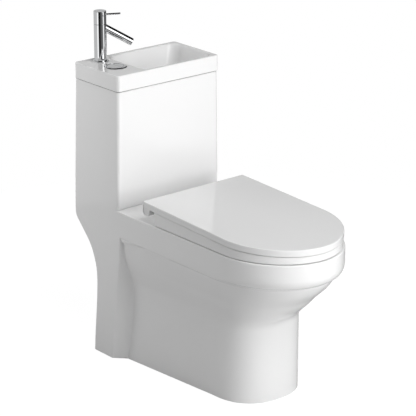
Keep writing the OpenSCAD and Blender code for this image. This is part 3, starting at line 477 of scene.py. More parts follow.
def shape_body():
    """Pan, pedestal, rear foot and cistern in one glazed casting."""
    look = bpy.context.scene.toilet_china
    cove, edge, rim = look.cove_round / MM, look.deck_round / MM, look.rim_round / MM
    mesh = bmesh.new()
    spans = ((0, 130, 10), (130, 230, 18), (230, 340, 17), (340, BAND_LOW, 5))
    levels = [low + (high - low) * k / count for low, high, count in spans for k in range(count)]
    levels += [BAND_LOW, 350.3] + [row[0] for row in BAND_ROWS[:-1]] + [392.0, 405.0, 413.0]
    rings = [body_ring(z, 0.0, cove) for z in levels]
    rings += [body_ring(DECK - edge + up, into, cove) for into, up in quarter(edge)]
    top = loft(mesh, rings)[-1]
    # the cistern goes on from the same points at its sides and back
    shared = tower_ring(DECK)
    right_count = len(tower_side(DECK)[0])
    back = len(body_side(DECK, edge, cove)) - 1
    shared[4:right_count] = top[CORNER_AT:CORNER_AT + right_count - 4]
    shared[right_count:2 * right_count - 5] = top[back + 1:back + right_count - 4]
    steps = [row[0] for row in ROLL_ROWS[1:]] + [60, 100, 150, 200, 250, 295, BODY_TOP - DECK]
    loft(mesh, [shared] + [tower_ring(DECK + up) for up in steps])
    # the bowl, from its rounded rim down
    mouth = smooth(BOWL_ROWS, BOWL_ROWS[0][0])
    rings = [bowl_ring(rim - up, into, mouth) for into, up in quarter(rim, 5)][::-1]
    rings += [bowl_ring(depth) for depth in BOWL_DEPTHS]
    loft(mesh, rings)
    fill_level(mesh, DECK)
    # the outlet goes out through the back of the foot
    hole = []
    for face in mesh.faces:
        x, y, z = face.calc_center_median()
        upright_wall = y > OUTLET_NEAR * MM and abs(face.normal.y) > 0.7
        if upright_wall and hypot(x, z - OUTLET_Z * MM) < OUTLET_CUT * MM:
            hole.append(face)
    bmesh.ops.delete(mesh, geom=hole, context="FACES")
    return dressed_shell("ceramic_body", "toilet_body", mesh)


BASIN_HALF, BASIN_FRONT, BASIN_BACK, BASIN_CORNER = 167.5, 204.0, 391.0, 9.0
BASIN_LOW, BASIN_TOP = 742.0, 784.0
BASIN_FLOOR, BASIN_LIP = 712.0, 3.5
# left, right, front and back of the bowl at its rim
MOUTH_LEFT, MOUTH_RIGHT, MOUTH_FRONT, MOUTH_BACK = -74.0, 158.5, 216.0, 378.0
# height, how far in from the left, right, front and back of the mouth, corner radius
BASIN_BOWL_ROWS = [
    (712, 48, 40, 28, 30, 24), (713.2, 42, 36, 24.5, 26.5, 24), (717, 36, 32, 21.5, 23.4, 25),
    (726, 28.6, 27.4, 17.4, 19.3, 26), (740, 21.3, 20.5, 13, 14.4, 26), (780, 2, 1.9, 1.2, 1.3, 26),
    (784, 0, 0, 0, 0, 26),
]
BASIN_BOWL_LEVELS = (
    776, 770, 762, 754, 746, 740, 734, 729, 725, 721, 718, 715.5, 713.8, 712.7, 712.1, 712,
)
# node that stands in a hole of the basin, radius of the hole, height of its upper edge
BASIN_HOLES = (
    ("tap_body", 16.0, BASIN_TOP), ("button_bezel", 24.8, BASIN_TOP), ("waste_flange", 22.0, BASIN_FLOOR),
)


def rounded_ring(x0, x1, y0, y1, r, z):
    """A rectangle with rounded corners, anticlockwise from the middle of its right side."""
    points = []
    for cx, cy, turn, far in (
        (x1 - r, y1 - r, 0, (x0 + r, y1)), (x0 + r, y1 - r, 90, (x0, y0 + r)),
        (x0 + r, y0 + r, 180, (x1 - r, y0)), (x1 - r, y0 + r, 270, (x1, y1 - r)),
    ):
        points += arc(cx, cy, r, turn, 11.25, 9)
        x, y = points[-1]
        points += [(x + (far[0] - x) * k / 6, y + (far[1] - y) * k / 6) for k in range(1, 6)]
    return at_height(points, z)


def round_ring(centre, radius, z):
    return at_height(arc(centre.x / MM, centre.y / MM, radius, 0, 7.5, 48), z)


def shape_basin():
    """Hand basin that closes the cistern, with its bowl beside the flat deck of the tap."""
    edge = bpy.context.scene.toilet_china.basin_round / MM
    mesh = bmesh.new()

    def outside(inset, z):
        half = BASIN_HALF - inset
        return rounded_ring(-half, half, BASIN_FRONT + inset, BASIN_BACK - inset, BASIN_CORNER - inset, z)

    rings = [outside(inset, BASIN_LOW + up) for inset, up in ((0.8, 0), (0.25, 0.25), (0.0, 0.9))]
    rings += [outside(0.0, BASIN_LOW + up) for up in (6, 14, 24, 34)]
    rings += [outside(into, BASIN_TOP - edge + up) for into, up in quarter(edge)]
    loft(mesh, rings)

    def inside(z, grow=0.0):
        left, right, near, far, r = smooth(BASIN_BOWL_ROWS, z)
        return rounded_ring(
            MOUTH_LEFT + left - grow, MOUTH_RIGHT - right + grow,
            MOUTH_FRONT + near - grow, MOUTH_BACK - far + grow, r + grow, z,
        )

    rings = [inside(BASIN_TOP - BASIN_LIP + up, into) for into, up in quarter(BASIN_LIP, 5)][::-1]
    loft(mesh, rings + [inside(z) for z in BASIN_BOWL_LEVELS])
    for node, radius, top in BASIN_HOLES:
        loft(mesh, [round_ring(centre_of(node), radius, z) for z in (top, top - 4, top - 9)])
    fill_level(mesh, BASIN_TOP)
    fill_level(mesh, BASIN_FLOOR)
    return dressed_shell("basin", "hand_basin", mesh, reach=2.5)


LID_HALF, LID_FRONT, LID_BACK, LID_TOP, LID_EDGE, LID_FALL = 167.5, -395.5, 106.5, 477.5, 17.0, 2.2
# depth and power of the round front
LID_ARC, LID_POWER = 185.0, 1.92
SEAT_BACK, SEAT_LOW, SEAT_DEEP, LID_GAP = 62.0, 422.8, 27.0, 1.2
HOLE_FRONT, HOLE_BACK, HOLE_HALF, HOLE_POWER = -333.5, -8.0, 110.5, 2.2
HINGE_Y, HINGE_Z, EAR_RADIUS, EAR_INNER = 93.0, 453.0, 13.5, 114.5
FALL_COS, FALL_SIN = cos(radians(LID_FALL)), sin(radians(LID_FALL))


def d_ring(inset, back, corner):
    """Outline of the lid: a round front and straight sides, with small corners at the back."""
    half, deep = LID_HALF - inset, LID_ARC - inset
    centre = LID_FRONT + LID_ARC
    points = oval(half, centre, deep, LID_POWER, 180, 180 / 64, 65)
    rear = half - corner
    run = back - corner - centre
    points += [(half, centre + share * run) for share in SIDE_SHARES]
    points += arc(rear, back - corner, corner, 0, 18, 6)
    points += [(rear - share * 2 * rear, back) for share in SIDE_SHARES]
    points += arc(-rear, back - corner, corner, 90, 18, 6)
    points += [(-half, centre + share * run) for share in SIDE_SHARES[::-1]]
    return points


def leaned(points, up):
    """Points on a plane that leans forward with the lid, a height above its underside."""
    out = []
    for x, y in points:
        rear = y - LID_BACK
        z = LID_TOP - LID_EDGE + rear * FALL_SIN + up * FALL_COS
        out.append((x * MM, (LID_BACK + rear * FALL_COS - up * FALL_SIN) * MM, z * MM))
    return out


def ear_ring(x, inset):
    """U-shaped section of the ear that hangs from the lid round the hinge line."""
    r = EAR_RADIUS - inset
    flat = r - 0.8
    points = [(min(y, flat), z) for y, z in arc(0, 0, r, 180, 9, 21)]
    points += [(flat, 8.0), (flat, 14.0), (-r, 14.0), (-r, 8.0)]
    return [(x * MM, (HINGE_Y + y) * MM, (HINGE_Z + z) * MM) for y, z in points]


def shape_lid():
    """Flat lid with a rounded upper edge and two ears round the hinge line."""
    edge = bpy.context.scene.toilet_seat.edge_round / MM
    mesh = bmesh.new()
    # how far in, corner radius, height above the underside
    rows = [(0.4, 3.6, 0.0)] + [(0.0, 4.0, up) for up in (0.5, 3, 7, 11)]
    rows += [(into, max(4.0 - into * 0.6, 1.0), LID_EDGE - edge + up) for into, up in quarter(edge)]
    rows += [(edge + 3, 2.0, LID_EDGE), (edge + 14, 2.0, LID_EDGE)]
    skin = loft(mesh, [leaned(d_ring(into, LID_BACK - into, corner), up) for into, corner, up in rows])
    mesh.faces.new(skin[-1])
    ends = [(LID_HALF - out, into) for into, out in quarter(1.6)][::-1]
    ends += [(LID_HALF - 20, 0), (EAR_INNER, 0)]
    for side in (-1, 1):
        ear = loft(mesh, [ear_ring(side * x, into) for x, into in ends])
        mesh.faces.new(ear[0])
    return dressed_shell("lid", "lid_cover", mesh, reach=3.4)


def shape_seat():
    """Seat ring with a soft outer edge and a rounded opening."""
    mesh = bmesh.new()
    centre, length = (HOLE_FRONT + HOLE_BACK) / 2, (HOLE_BACK - HOLE_FRONT) / 2
    top_down = LID_EDGE + LID_GAP

    def level(points, share):
        out = []
        for x, y in points:
            top = LID_TOP - top_down + (y - LID_BACK) / FALL_COS * FALL_SIN
            out.append((x * MM, y * MM, (SEAT_LOW + share * (top - SEAT_LOW)) * MM))
        return out

    def outline(into):
        return d_ring(1.0 + into, SEAT_BACK - into, 3.0)

    def hole(grow):
        return oval(HOLE_HALF + grow, centre, length + grow, HOLE_POWER)

    low, high, inner = 1.0, 2.2, 6.0
    rings = [level(outline(into), (low - up) / SEAT_DEEP) for into, up in quarter(low, 3)[::-1]]
    rings += [level(outline(0.0), share) for share in (0.2, 0.5, 0.8)]
    rings += [level(outline(into), 1 - (high - up) / SEAT_DEEP) for into, up in quarter(high)]
    loft(mesh, rings)
    rings = [level(hole(into), 1 - (inner - up) / SEAT_DEEP) for into, up in quarter(inner, 5)][::-1]
    loft(mesh, rings + [level(hole(0.0), share) for share in (0.6, 0.4, 0.2, 0.0)])
    upward = Vector((0, -FALL_SIN, FALL_COS))
    origin = Vector((0, LID_BACK * MM, (LID_TOP - top_down) * MM))
    fill_where(mesh, lambda p: abs((p - origin).dot(upward)) < 2e-5)
    return dressed_shell("seat_ring", "seat_oval", mesh, reach=4.6)


# ---------- turned metal ----------

SPOUT_HEADING, SPOUT_SLOPE, SPOUT_REACH, SPOUT_END = -25.0, 31.0, 83.0, 830.0
SPOUT_RADIUS, SPOUT_BORE, CORE_TOP = 10.0, 7.5, 930.0
TAP_INLET, TAP_BORE, TAP_BORE_DEPTH, FOOT_BORE, STEM_BORE = 8.0, 12.55, 48.0, 16.0, 5.05
LEVER_RADIUS, LEVER_ROOT, LEVER_TIP = 2.5, -4.0, 54.0
# where the middle of the lever's slot and its cross pin lie in front of the tap's axis
SLOT_Y, PIN_Y = 7.0, 5.0
BUTTON_RADIUS, BUTTON_BORE, BEZEL_BORE = 21.5, 19.5, 21.8
WASTE_BORE, WASTE_THREAD, WASTE_SKIRT = 16.0, 19.05, 21.4


def upright(node):
    """Place of a turned piece on the upright axis of a node, with heights kept."""
    centre = centre_of(node)
    return Matrix.Translation((centre.x, centre.y, 0))


def quarter_turn(axis, angle=90.0):
    return Matrix.Rotation(radians(angle), 4, axis)


def moved(x, z):
    return Matrix.Translation((x * MM, 0, z * MM))


def along_spout():
    return upright("tap_body") @ quarter_turn("Z", SPOUT_HEADING)


def span_of(node):
    """Lowest level, highest level and outer radius of a node, in millimetres."""
    low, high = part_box(node)
    return low.z / MM, high.z / MM, (high.x - low.x) / 2 / MM


def eased(r, high, edge):
    """Rows that round the upper edge of a turned piece."""
    return [(r - into, high - edge + up) for into, up in quarter(edge)]


def shape_tap_foot(edge):
    """Low ring that the tap stands on."""
    low, high, r = span_of("tap_base_ring")
    rows = [(FOOT_BORE, low), (r - 0.2, low), (r, low + 0.2)] + eased(r, high, edge) + [(FOOT_BORE, high)]
    return turned("tap_foot", rows, upright("tap_body"), True)


def shape_tap_column(edge):
    """Straight column with the bore for the cartridge."""
    low, high, r = span_of("tap_body")
    floor = high - TAP_BORE_DEPTH
    rows = [(TAP_INLET, low), (r - 0.3, low), (r, low + 0.3), (r, high - 0.4), (r - 0.4, high)]
    rows += [(TAP_BORE, high), (TAP_BORE, floor), (TAP_INLET, floor)]
    return turned("tap_column", rows, upright("tap_body"), True)


def shape_spout(edge):
    """Slanting tube that meets the column in a clean seam."""
    length = SPOUT_REACH / cos(radians(SPOUT_SLOPE))
    rows = [(SPOUT_BORE, -length), (SPOUT_RADIUS, -length)] + eased(SPOUT_RADIUS, 0.0, edge)
    rows += [(SPOUT_BORE + 0.5, 0.0), (SPOUT_BORE, -0.5)]
    slant = along_spout() @ moved(SPOUT_REACH, SPOUT_END) @ quarter_turn("Y", 90 + SPOUT_SLOPE)
    spout = turned("tap_nozzle", rows, slant, True)
    low, _, r = span_of("tap_body")
    cut(spout, turned("core", [(r, low), (r, CORE_TOP)], upright("tap_body")))
    return spout


def drill_for_pin(piece, radius, reach, lever):
    """The cross hole of the pin that the lever tips on."""
    across = along_spout() @ moved(PIN_Y, lever) @ quarter_turn("X")
    cut(piece, turned("hole", [(radius, -reach), (radius, reach)], across, sides=32))


def shape_tap_cap(edge):
    """Turning cap with the slot and the pin hole of the lever."""
    low, high, r = span_of("tap_cap")
    lever = centre_of("tap_lever").z / MM
    rows = [(STEM_BORE, lever - 7), (STEM_BORE, low), (r - 0.4, low), (r, low + 0.4)] + eased(r, high, edge)
    cap = turned("tap_handle", rows, upright("tap_body"))
    deselect()
    bpy.ops.mesh.primitive_cube_add(
        size=1, location=(SLOT_Y * MM, 0, (lever + 0.5) * MM), scale=(0.03, 0.006, 0.014),
    )
    slot = bpy.context.object
    cut(cap, placed(slot, along_spout() @ slot.matrix_world))
    drill_for_pin(cap, 1.55, 25, lever)
    return cap


def shape_lever(edge):
    """Thin pin lever with a rounded tip."""
    lever = centre_of("tap_lever").z / MM
    r = LEVER_RADIUS
    rows = [(r - 0.3, LEVER_ROOT), (r, LEVER_ROOT + 0.3), (r, 20), (r, 40)] + eased(r, LEVER_TIP, edge)
    pin = turned("pin_handle", rows, along_spout() @ moved(0, lever) @ quarter_turn("Y"), sides=48)
    drill_for_pin(pin, 1.58, 8, lever)
    return pin


def shape_bezel():
    """Low rounded ring round the flush buttons."""
    low, high, r = span_of("button_bezel")
    bore = BEZEL_BORE
    rows = [
        (bore, low), (r - 0.4, low), (r, low + 0.35), (r - 0.5, low + 1.2), (r - 1.8, high - 0.6),
        (r - 3.6, high - 0.15), (r - 5.4, high), (bore + 1.1, high - 0.1), (bore + 0.3, high - 0.45),
        (bore, high - 1.0),
    ]
    return turned("button_rim", rows, upright("button_bezel"), True)


def shape_button(node, name, edge):
    """One half of the divided flush button, hollow below."""
    low, top, _ = span_of(node)
    rows = [(BUTTON_BORE, top - 4), (BUTTON_BORE, low), (BUTTON_RADIUS, low)]
    rows += eased(BUTTON_RADIUS, top, edge) + [(19.0, top - 0.15), (9.0, top - 0.5)]
    key = turned(name, rows, upright("button_bezel"))
    full = node == "full_flush_button"
    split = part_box(node)[full].x
    edit(key)
    bpy.ops.mesh.bisect(
        plane_co=(split, 0, 0), plane_no=(1, 0, 0), use_fill=True, clear_outer=full, clear_inner=not full,
    )
    object_mode()
    round_edges(key, 0.35, 50)
    return key


def shape_waste_rose():
    """Waste ring set into the floor of the bowl."""
    low, high, r = span_of("waste_flange")
    floor, bore = high - 2, WASTE_BORE
    rows = [
        (WASTE_THREAD, low), (WASTE_SKIRT, low), (WASTE_SKIRT, floor), (r - 0.3, floor), (r, floor + 0.3),
        (r - 0.5, floor + 1.1), (r - 2.2, high - 0.2), (r - 5, high), (bore + 1.2, high),
        (bore + 0.3, high - 0.35), (bore, high - 1.0), (bore, floor - 1), (WASTE_THREAD, floor - 1),
    ]
    return turned("waste_rose", rows, upright("waste_flange"), True)


def shape_stopper():
    """Domed press-down plug on its stem."""
    low, high, r = span_of("waste_plug")
    rows = [
        (3.0, low), (3.0, high - 4), (r - 0.4, high - 4), (r, high - 3.6), (r, high - 2.6),
        (r - 0.7, high - 1.4), (r - 3, high - 0.6), (16.0, high - 0.2), (8.0, high - 0.03), (1.0, high),
    ]
    return turned("waste_stopper", rows, upright("waste_plug"))


# ---------- finishes ----------

# slot: name of its finish
FINISH_NAMES = {
    "china": "fired_glaze", "seat_plastic": "gloss_seat_plastic", "chrome": "chrome_plate",
    "brass": "machined_brass", "copper": "drawn_copper", "steel": "satin_steel",
    "white_plastic": "moulded_white_plastic", "grey_plastic": "moulded_grey_plastic",
    "rubber": "moulded_rubber",
}
PALE = (0.8, 0.8, 0.8, 1)


def add(tree, kind, values=None, **settings):
    """A new node, with its settings and the values of its inputs."""
    node = tree.nodes.new(kind)
    for key, value in settings.items():
        setattr(node, key, value)
    put(node, values or {})
    return node


def put(node, values):
    for key, value in values.items():
        node.inputs[key].default_value = value


def wire(tree, *links):
    """Links given as (node, its output, next node, its input)."""
    for source, output, target, socket in links:
        tree.links.new(source.outputs[output], target.inputs[socket])


def node_group(name, inputs, outputs):
    """A group with its inputs and their values, its outputs, and the coordinates on the object."""
    group = bpy.data.node_groups.new(name, "ShaderNodeTree")
    for label, default in inputs.items():
        kind = "NodeSocketColor" if isinstance(default, tuple) else "NodeSocketFloat"
        socket = group.interface.new_socket(name=label, in_out="INPUT", socket_type=kind)
        socket.default_value = default
    for label in outputs:
        kind = "NodeSocketColor" if label == "Color" else "NodeSocketFloat"
        group.interface.new_socket(name=label, in_out="OUTPUT", socket_type=kind)
    source, out = add(group, "NodeGroupInput"), add(group, "NodeGroupOutput")
    return group, source, out, add(group, "ShaderNodeTexCoord")


def blended(group, source, noise, second, out):
    """Run from the first tone to the second along a noise."""
    blend = add(group, "ShaderNodeMix", data_type="RGBA")
    wire(
        group, (noise, "Fac", blend, "Factor"), (source, "Tone", blend, "A"), (source, second, blend, "B"),
        (blend, "Result", out, "Color"),
    )


def roughened(group, source, noise, base, share, out):
    """Roughness that rises from a base with a noise."""
    spread = add(group, "ShaderNodeMath", {1: share}, operation="MULTIPLY_ADD")
    wire(group, (noise, "Fac", spread, 0), (source, base, spread, 2), (spread, 0, out, "Roughness"))


def glaze_group():
    """Slow change of tone in a thick glaze, and the faint waves of its surface."""
    inputs = {"Tone": PALE, "Pool": PALE, "Scale": 3.0, "Gloss": 0.06}
    group, source, out, place = node_group("glaze_depth", inputs, ("Color", "Roughness", "Wave"))
    slow = add(group, "ShaderNodeTexNoise", {"Detail": 2.0})
    fine = add(group, "ShaderNodeTexNoise", {"Scale": 55.0, "Detail": 1.5})
    wide = add(group, "ShaderNodeTexNoise", {"Scale": 14.0, "Detail": 1.0})
    wire(group, *[(place, "Object", noise, "Vector") for noise in (slow, fine, wide)])
    wire(group, (source, "Scale", slow, "Scale"), (wide, "Fac", out, "Wave"))
    blended(group, source, slow, "Pool", out)
    roughened(group, source, fine, "Gloss", 0.05, out)


def polish_group():
    """Fine marks of polishing and handling: roughness and a little tone."""
    inputs = {"Tone": PALE, "Rubbed": PALE, "Low": 0.04, "High": 0.12, "Scale": 90.0}
    group, source, out, place = node_group("polish_marks", inputs, ("Color", "Roughness", "Marks"))
    marks = add(group, "ShaderNodeTexNoise", {"Detail": 5.0})
    span = add(group, "ShaderNodeMapRange", {"From Min": 0.35, "From Max": 0.7})
    wire(
        group, (place, "Object", marks, "Vector"), (source, "Scale", marks, "Scale"),
        (marks, "Fac", span, "Value"), (source, "Low", span, "To Min"), (source, "High", span, "To Max"),
        (span, "Result", out, "Roughness"), (marks, "Fac", out, "Marks"),
    )
    blended(group, source, marks, "Rubbed", out)


def grain_group():
    """Fine grain of moulded plastic and rubber."""
    inputs = {"Tone": PALE, "Shade": PALE, "Rough": 0.4, "Scale": 400.0}
    group, source, out, place = node_group("mould_grain", inputs, ("Color", "Roughness", "Grain"))
    grain = add(group, "ShaderNodeTexVoronoi", feature="F1")
    slow = add(group, "ShaderNodeTexNoise", {"Scale": 18.0})
    wire(
        group, (place, "Object", grain, "Vector"), (source, "Scale", grain, "Scale"),
        (place, "Object", slow, "Vector"), (grain, "Distance", out, "Grain"),
    )
    blended(group, source, slow, "Shade", out)
    roughened(group, source, slow, "Rough", 0.08, out)


def shader_of(name):
    material = bpy.data.materials.new(name)
    material.use_nodes = True
    return material, material.node_tree, material.node_tree.nodes["Principled BSDF"]


def shaded(tone, share):
    return (tone[0] * share, tone[1] * share, tone[2] * share, 1)


def finished(slot, group_name, inputs, relief, values):
    """A slot's material, from a shared group's colour, roughness and (output, strength, depth) of relief."""
    _, tree, shader = shader_of(FINISH_NAMES[slot])
    group = add(tree, "ShaderNodeGroup", node_tree=bpy.data.node_groups[group_name])
    put(group, inputs)
    put(shader, values)
    wire(tree, (group, "Color", shader, "Base Color"), (group, "Roughness", shader, "Roughness"))
    output, strength, depth = relief
    if depth:
        bump = add(tree, "ShaderNodeBump", {"Strength": strength, "Distance": depth})
        wire(tree, (group, output, bump, "Height"), (bump, "Normal", shader, "Normal"))


def glazed(slot, tone, gloss, wave):
    inputs = {"Tone": shaded(tone, 1), "Pool": shaded(tone, 0.985), "Gloss": gloss}
    values = {"IOR": 1.5, "Coat Weight": 0.35, "Coat Roughness": 0.03}
    finished(slot, "glaze_depth", inputs, ("Wave", 0.12, wave), values)


def polished(slot, tone, low, high, scale=90.0, marks=0.0):
    inputs = {"Tone": shaded(tone, 1), "Rubbed": shaded(tone, 0.93)}
    inputs |= {"Low": low, "High": high, "Scale": scale}
    finished(slot, "polish_marks", inputs, ("Marks", 0.2, marks), {"Metallic": 1.0})


def moulded(slot, tone, rough, scale=400.0, depth=0.00005):
    inputs = {"Tone": shaded(tone, 1), "Shade": shaded(tone, 0.96), "Rough": rough, "Scale": scale}
    finished(slot, "mould_grain", inputs, ("Grain", 0.15, depth), {})


# ---------- operators ----------


class TOILET_OT_finishes(bpy.types.Operator):
    """Make the finishes and put them on every part of the frame"""

    bl_idname = "toilet.finishes"
    bl_label = "Finishes"

    def execute(self, context):
        scene = context.scene
        glaze_group()
        polish_group()
        grain_group()
        glazed("china", scene.toilet_china.glaze, 0.05, 0.0004)
        glazed("seat_plastic", scene.toilet_seat.plastic, 0.03, 0.00004)
        polished("chrome", scene.toilet_metal.chrome, 0.03, 0.07)
        polished("brass", (0.66, 0.5, 0.24), 0.22, 0.38, 160.0, 0.0001)
        polished("copper", (0.68, 0.34, 0.2), 0.25, 0.4, 120.0, 0.0001)
        polished("steel", (0.56, 0.57, 0.58), 0.28, 0.42, 200.0, 0.0001)
        moulded("white_plastic", (0.8, 0.8, 0.79), 0.32)
        moulded("grey_plastic", (0.3, 0.32, 0.34), 0.38)
        moulded("rubber", (0.03, 0.03, 0.032), 0.62, 700.0, 0.00008)
        for row in frame["record"]["subparts"]:
            part = frame["nodes"][row["node"]]
            coat(part, row["material_slot"])
            take(part)
            bpy.ops.object.shade_smooth_by_angle(angle=radians(30))
        return {"FINISHED"}


class TOILET_OT_body(bpy.types.Operator):
    """Model the glazed pan, pedestal, rear foot and cistern"""

    bl_idname = "toilet.body"
    bl_label = "Pan and cistern"

    def execute(self, context):
        done(shape_body(), "fixed", "china", "ceramic_body", 32)
        return {"FINISHED"}


class TOILET_OT_basin(bpy.types.Operator):
    """Model the hand basin on the cistern"""

    bl_idname = "toilet.basin"
    bl_label = "Hand basin"

    def execute(self, context):
        done(shape_basin(), "fixed", "china", "basin", 32)
        return {"FINISHED"}


class TOILET_OT_seat(bpy.types.Operator):
    """Model the seat, the lid and their rubber feet"""

    bl_idname = "toilet.seat"
    bl_label = "Seat and lid"

    def execute(self, context):
        done(shape_lid(), "lid", "seat_plastic", "lid", 32)
        done(shape_seat(), "seat", "seat_plastic", "seat_ring", 32)
        for node, name, body in (("seat_buffers", "seat_feet", "seat"), ("lid_buffers", "lid_feet", "lid")):
            done(rounded_copy(node, name, 0.4), body, "rubber", node)
        return {"FINISHED"}


class TOILET_OT_tap(bpy.types.Operator):
    """Turn the parts of the tap: foot ring, column, spout, cap and pin lever"""

    bl_idname = "toilet.tap"
    bl_label = "Tap"

    def execute(self, context):
        edge = context.scene.toilet_metal.edge_round / MM
        for shape, body, node in (
            (shape_tap_foot, "fixed", "tap_base_ring"), (shape_tap_column, "fixed", "tap_body"),
            (shape_spout, "fixed", "tap_spout"), (shape_tap_cap, "tap_cap", "tap_cap"),
            (shape_lever, "tap_lever", "tap_lever"),
        ):
            done(shape(edge), body, "chrome", node)
        done(rounded_copy("tap_aerator", "tap_strainer", 0.2), "fixed", "grey_plastic", "tap_aerator")
        return {"FINISHED"}


class TOILET_OT_buttons(bpy.types.Operator):
    """Turn the chrome ring and cut the two flush buttons"""

    bl_idname = "toilet.buttons"
    bl_label = "Flush buttons"

    def execute(self, context):
        edge = context.scene.toilet_metal.edge_round / MM
        done(shape_bezel(), "fixed", "chrome", "button_bezel")
        for flush in ("full", "half"):
            node = flush + "_flush_button"
            done(shape_button(node, flush + "_flush_key", edge), flush + "_button", "chrome", node)
        return {"FINISHED"}


class TOILET_OT_waste(bpy.types.Operator):
    """Turn the waste ring and the press-down plug of the basin"""

    bl_idname = "toilet.waste"
    bl_label = "Basin waste"

    def execute(self, context):
        done(shape_waste_rose(), "fixed", "chrome", "waste_flange")
        done(shape_stopper(), "plug", "chrome", "waste_plug")
        return {"FINISHED"}


class TOILET_OT_fixings(bpy.types.Operator):
    """Round the edges of the hinge posts, the outlet and the floor fixings"""

    bl_idname = "toilet.fixings"
    bl_label = "Hinges, outlet and fixings"

    def execute(self, context):
        for node, name, slot, width in (
            ("hinge_posts", "hinge_pillars", "chrome", 0.6),
            ("outlet_connector", "outlet_collar", "white_plastic", 0.8),
            ("floor_brackets", "floor_angles", "steel", 0.5),
            ("bracket_bolts", "angle_bolts", "steel", 0.4),
            ("hinge_nuts", "hinge_wing_nuts", "white_plastic", 0.4),
        ):
            done(rounded_copy(node, name, width), "fixed", slot, node)
        return {"FINISHED"}


# azimuth in degrees (0 in front of the pan, growing to the right), brightness of the walls there
WALLS_HIGH = (
    (-180, 0.5), (-94, 0.6), (-84, 0.03), (-6, 0.01), (2, 2.2), (24, 2.2), (30, 0.01), (125, 0.01),
    (136, 0.5), (180, 0.5),
)
# the same, from a little below the horizon down
WALLS_LOW = (
    (-180, 0.55), (-96, 0.58), (-86, 1.2), (-74, 1.2), (-62, 0.1), (-56, 0.005), (-40, 0.005),
    (-26, 0.09), (-5, 0.14), (14, 0.22), (24, 1.1), (37, 1.1), (45, 0.06), (70, 0.06), (94, 0.17),
    (140, 0.4), (180, 0.55),
)
# sine of the elevation, share of the walls' brightness
WALLS_RISE = ((-1.0, 0.4), (-0.6, 1.0), (0.58, 1.0), (0.68, 0.02), (1.0, 0.01))
# sine of the elevation, share of the high walls against the low ones
WALLS_MIX = ((-1.0, 0.0), (-0.24, 0.0), (-0.14, 1.0), (1.0, 1.0))
# name, point aimed at, azimuth and elevation in degrees, distance, width and height in metres, watts
SOFT_LIGHTS = (
    ("close_front_light", (0, -0.1, 0.2), -2, 8, 1.7, 1.0, 0.6, 7.3),
    ("middle_front_light", (0, 0, 0.45), 8, 15, 3.0, 1.2, 0.8, 14.5),
    ("high_front_light", (0, 0, 0.45), 5, 43, 3.0, 1.4, 1.2, 5.5),
    ("left_light", (0, 0.35, 0.65), -128, 14, 1.2, 0.6, 0.6, 5.7),
    ("top_light", (0, 0.05, 0.45), 0, 58, 2.6, 1.9, 1.6, 39.0),
)
WHITE = (1, 1, 1, 1)
# brightness of the floor's paper and its share in what the camera sees
PAPER_STRENGTH, PAPER_SHARE = 1.2, 0.8
# from the photograph's vanishing points, in metres and radians
CAMERA_PLACE, CAMERA_YAW, CAMERA_PITCH = (-3.0806, -3.6554, 2.1377), 0.69393, 0.33952


def ramp_of(tree, place, stops, low, high):
    """A grey ramp through (place, value) stops, and the greatest value, by which they are divided."""
    ramp = add(tree, "ShaderNodeValToRGB")
    greatest = max(value for _, value in stops)
    marks = ramp.color_ramp.elements
    while len(marks) < len(stops):
        marks.new(0.5)
    for mark, (at, value) in zip(marks, stops):
        mark.position = (at - low) / (high - low)
        mark.color = (value / greatest, value / greatest, value / greatest, 1)
    wire(tree, (place, 0, ramp, "Fac"))
    return ramp, greatest


def times(tree, source, output, factor):
    node = add(tree, "ShaderNodeMath", {1: factor}, operation="MULTIPLY")
    wire(tree, (source, output, node, 0))
    return node


def studio_world(scene):
    """White to the camera; to the object a dark room with lit walls and a tall soft panel in front."""
    world = bpy.data.worlds.new("studio")
    scene.world = world
    world.use_nodes = True
    tree = world.node_tree
    tree.nodes.clear()
    way = add(tree, "ShaderNodeTexCoord")
    parts = add(tree, "ShaderNodeSeparateXYZ")
    wire(tree, (way, "Generated", parts, 0))
    turn = add(tree, "ShaderNodeMath", operation="ARCTAN2")
    wire(tree, (parts, "X", turn, 0), (times(tree, parts, "Y", -1), 0, turn, 1))
    share = add(tree, "ShaderNodeMapRange", {"From Min": -pi, "From Max": pi})
    lift = add(tree, "ShaderNodeMapRange", {"From Min": -1})
    wire(tree, (turn, 0, share, "Value"), (parts, "Z", lift, "Value"))
    walls = add(tree, "ShaderNodeMix", data_type="FLOAT")
    change, _ = ramp_of(tree, lift, WALLS_MIX, -1, 1)
    wire(tree, (change, "Color", walls, 0))
    for stops, socket in ((WALLS_LOW, 2), (WALLS_HIGH, 3)):
        ramp, greatest = ramp_of(tree, share, stops, -180, 180)
        wire(tree, (times(tree, ramp, "Color", greatest), 0, walls, socket))
    rise, _ = ramp_of(tree, lift, WALLS_RISE, -1, 1)
    strength = add(tree, "ShaderNodeMath", operation="MULTIPLY")
    room = add(tree, "ShaderNodeBackground", {"Color": WHITE})
    white = add(tree, "ShaderNodeBackground", {"Color": WHITE})
    wire(tree, (walls, 0, strength, 0), (rise, "Color", strength, 1), (strength, 0, room, "Strength"))
    seen_white(tree, room, white, add(tree, "ShaderNodeOutputWorld"), 1.0)


def seen_white(tree, shader, white, out, share):
    """Let the camera see a share of the white shader, and everything else the other shader alone."""
    seen = times(tree, add(tree, "ShaderNodeLightPath"), "Is Camera Ray", share)
    mix = add(tree, "ShaderNodeMixShader")
    wire(tree, (seen, 0, mix, "Fac"), (shader, 0, mix, 1), (white, 0, mix, 2), (mix, 0, out, "Surface"))


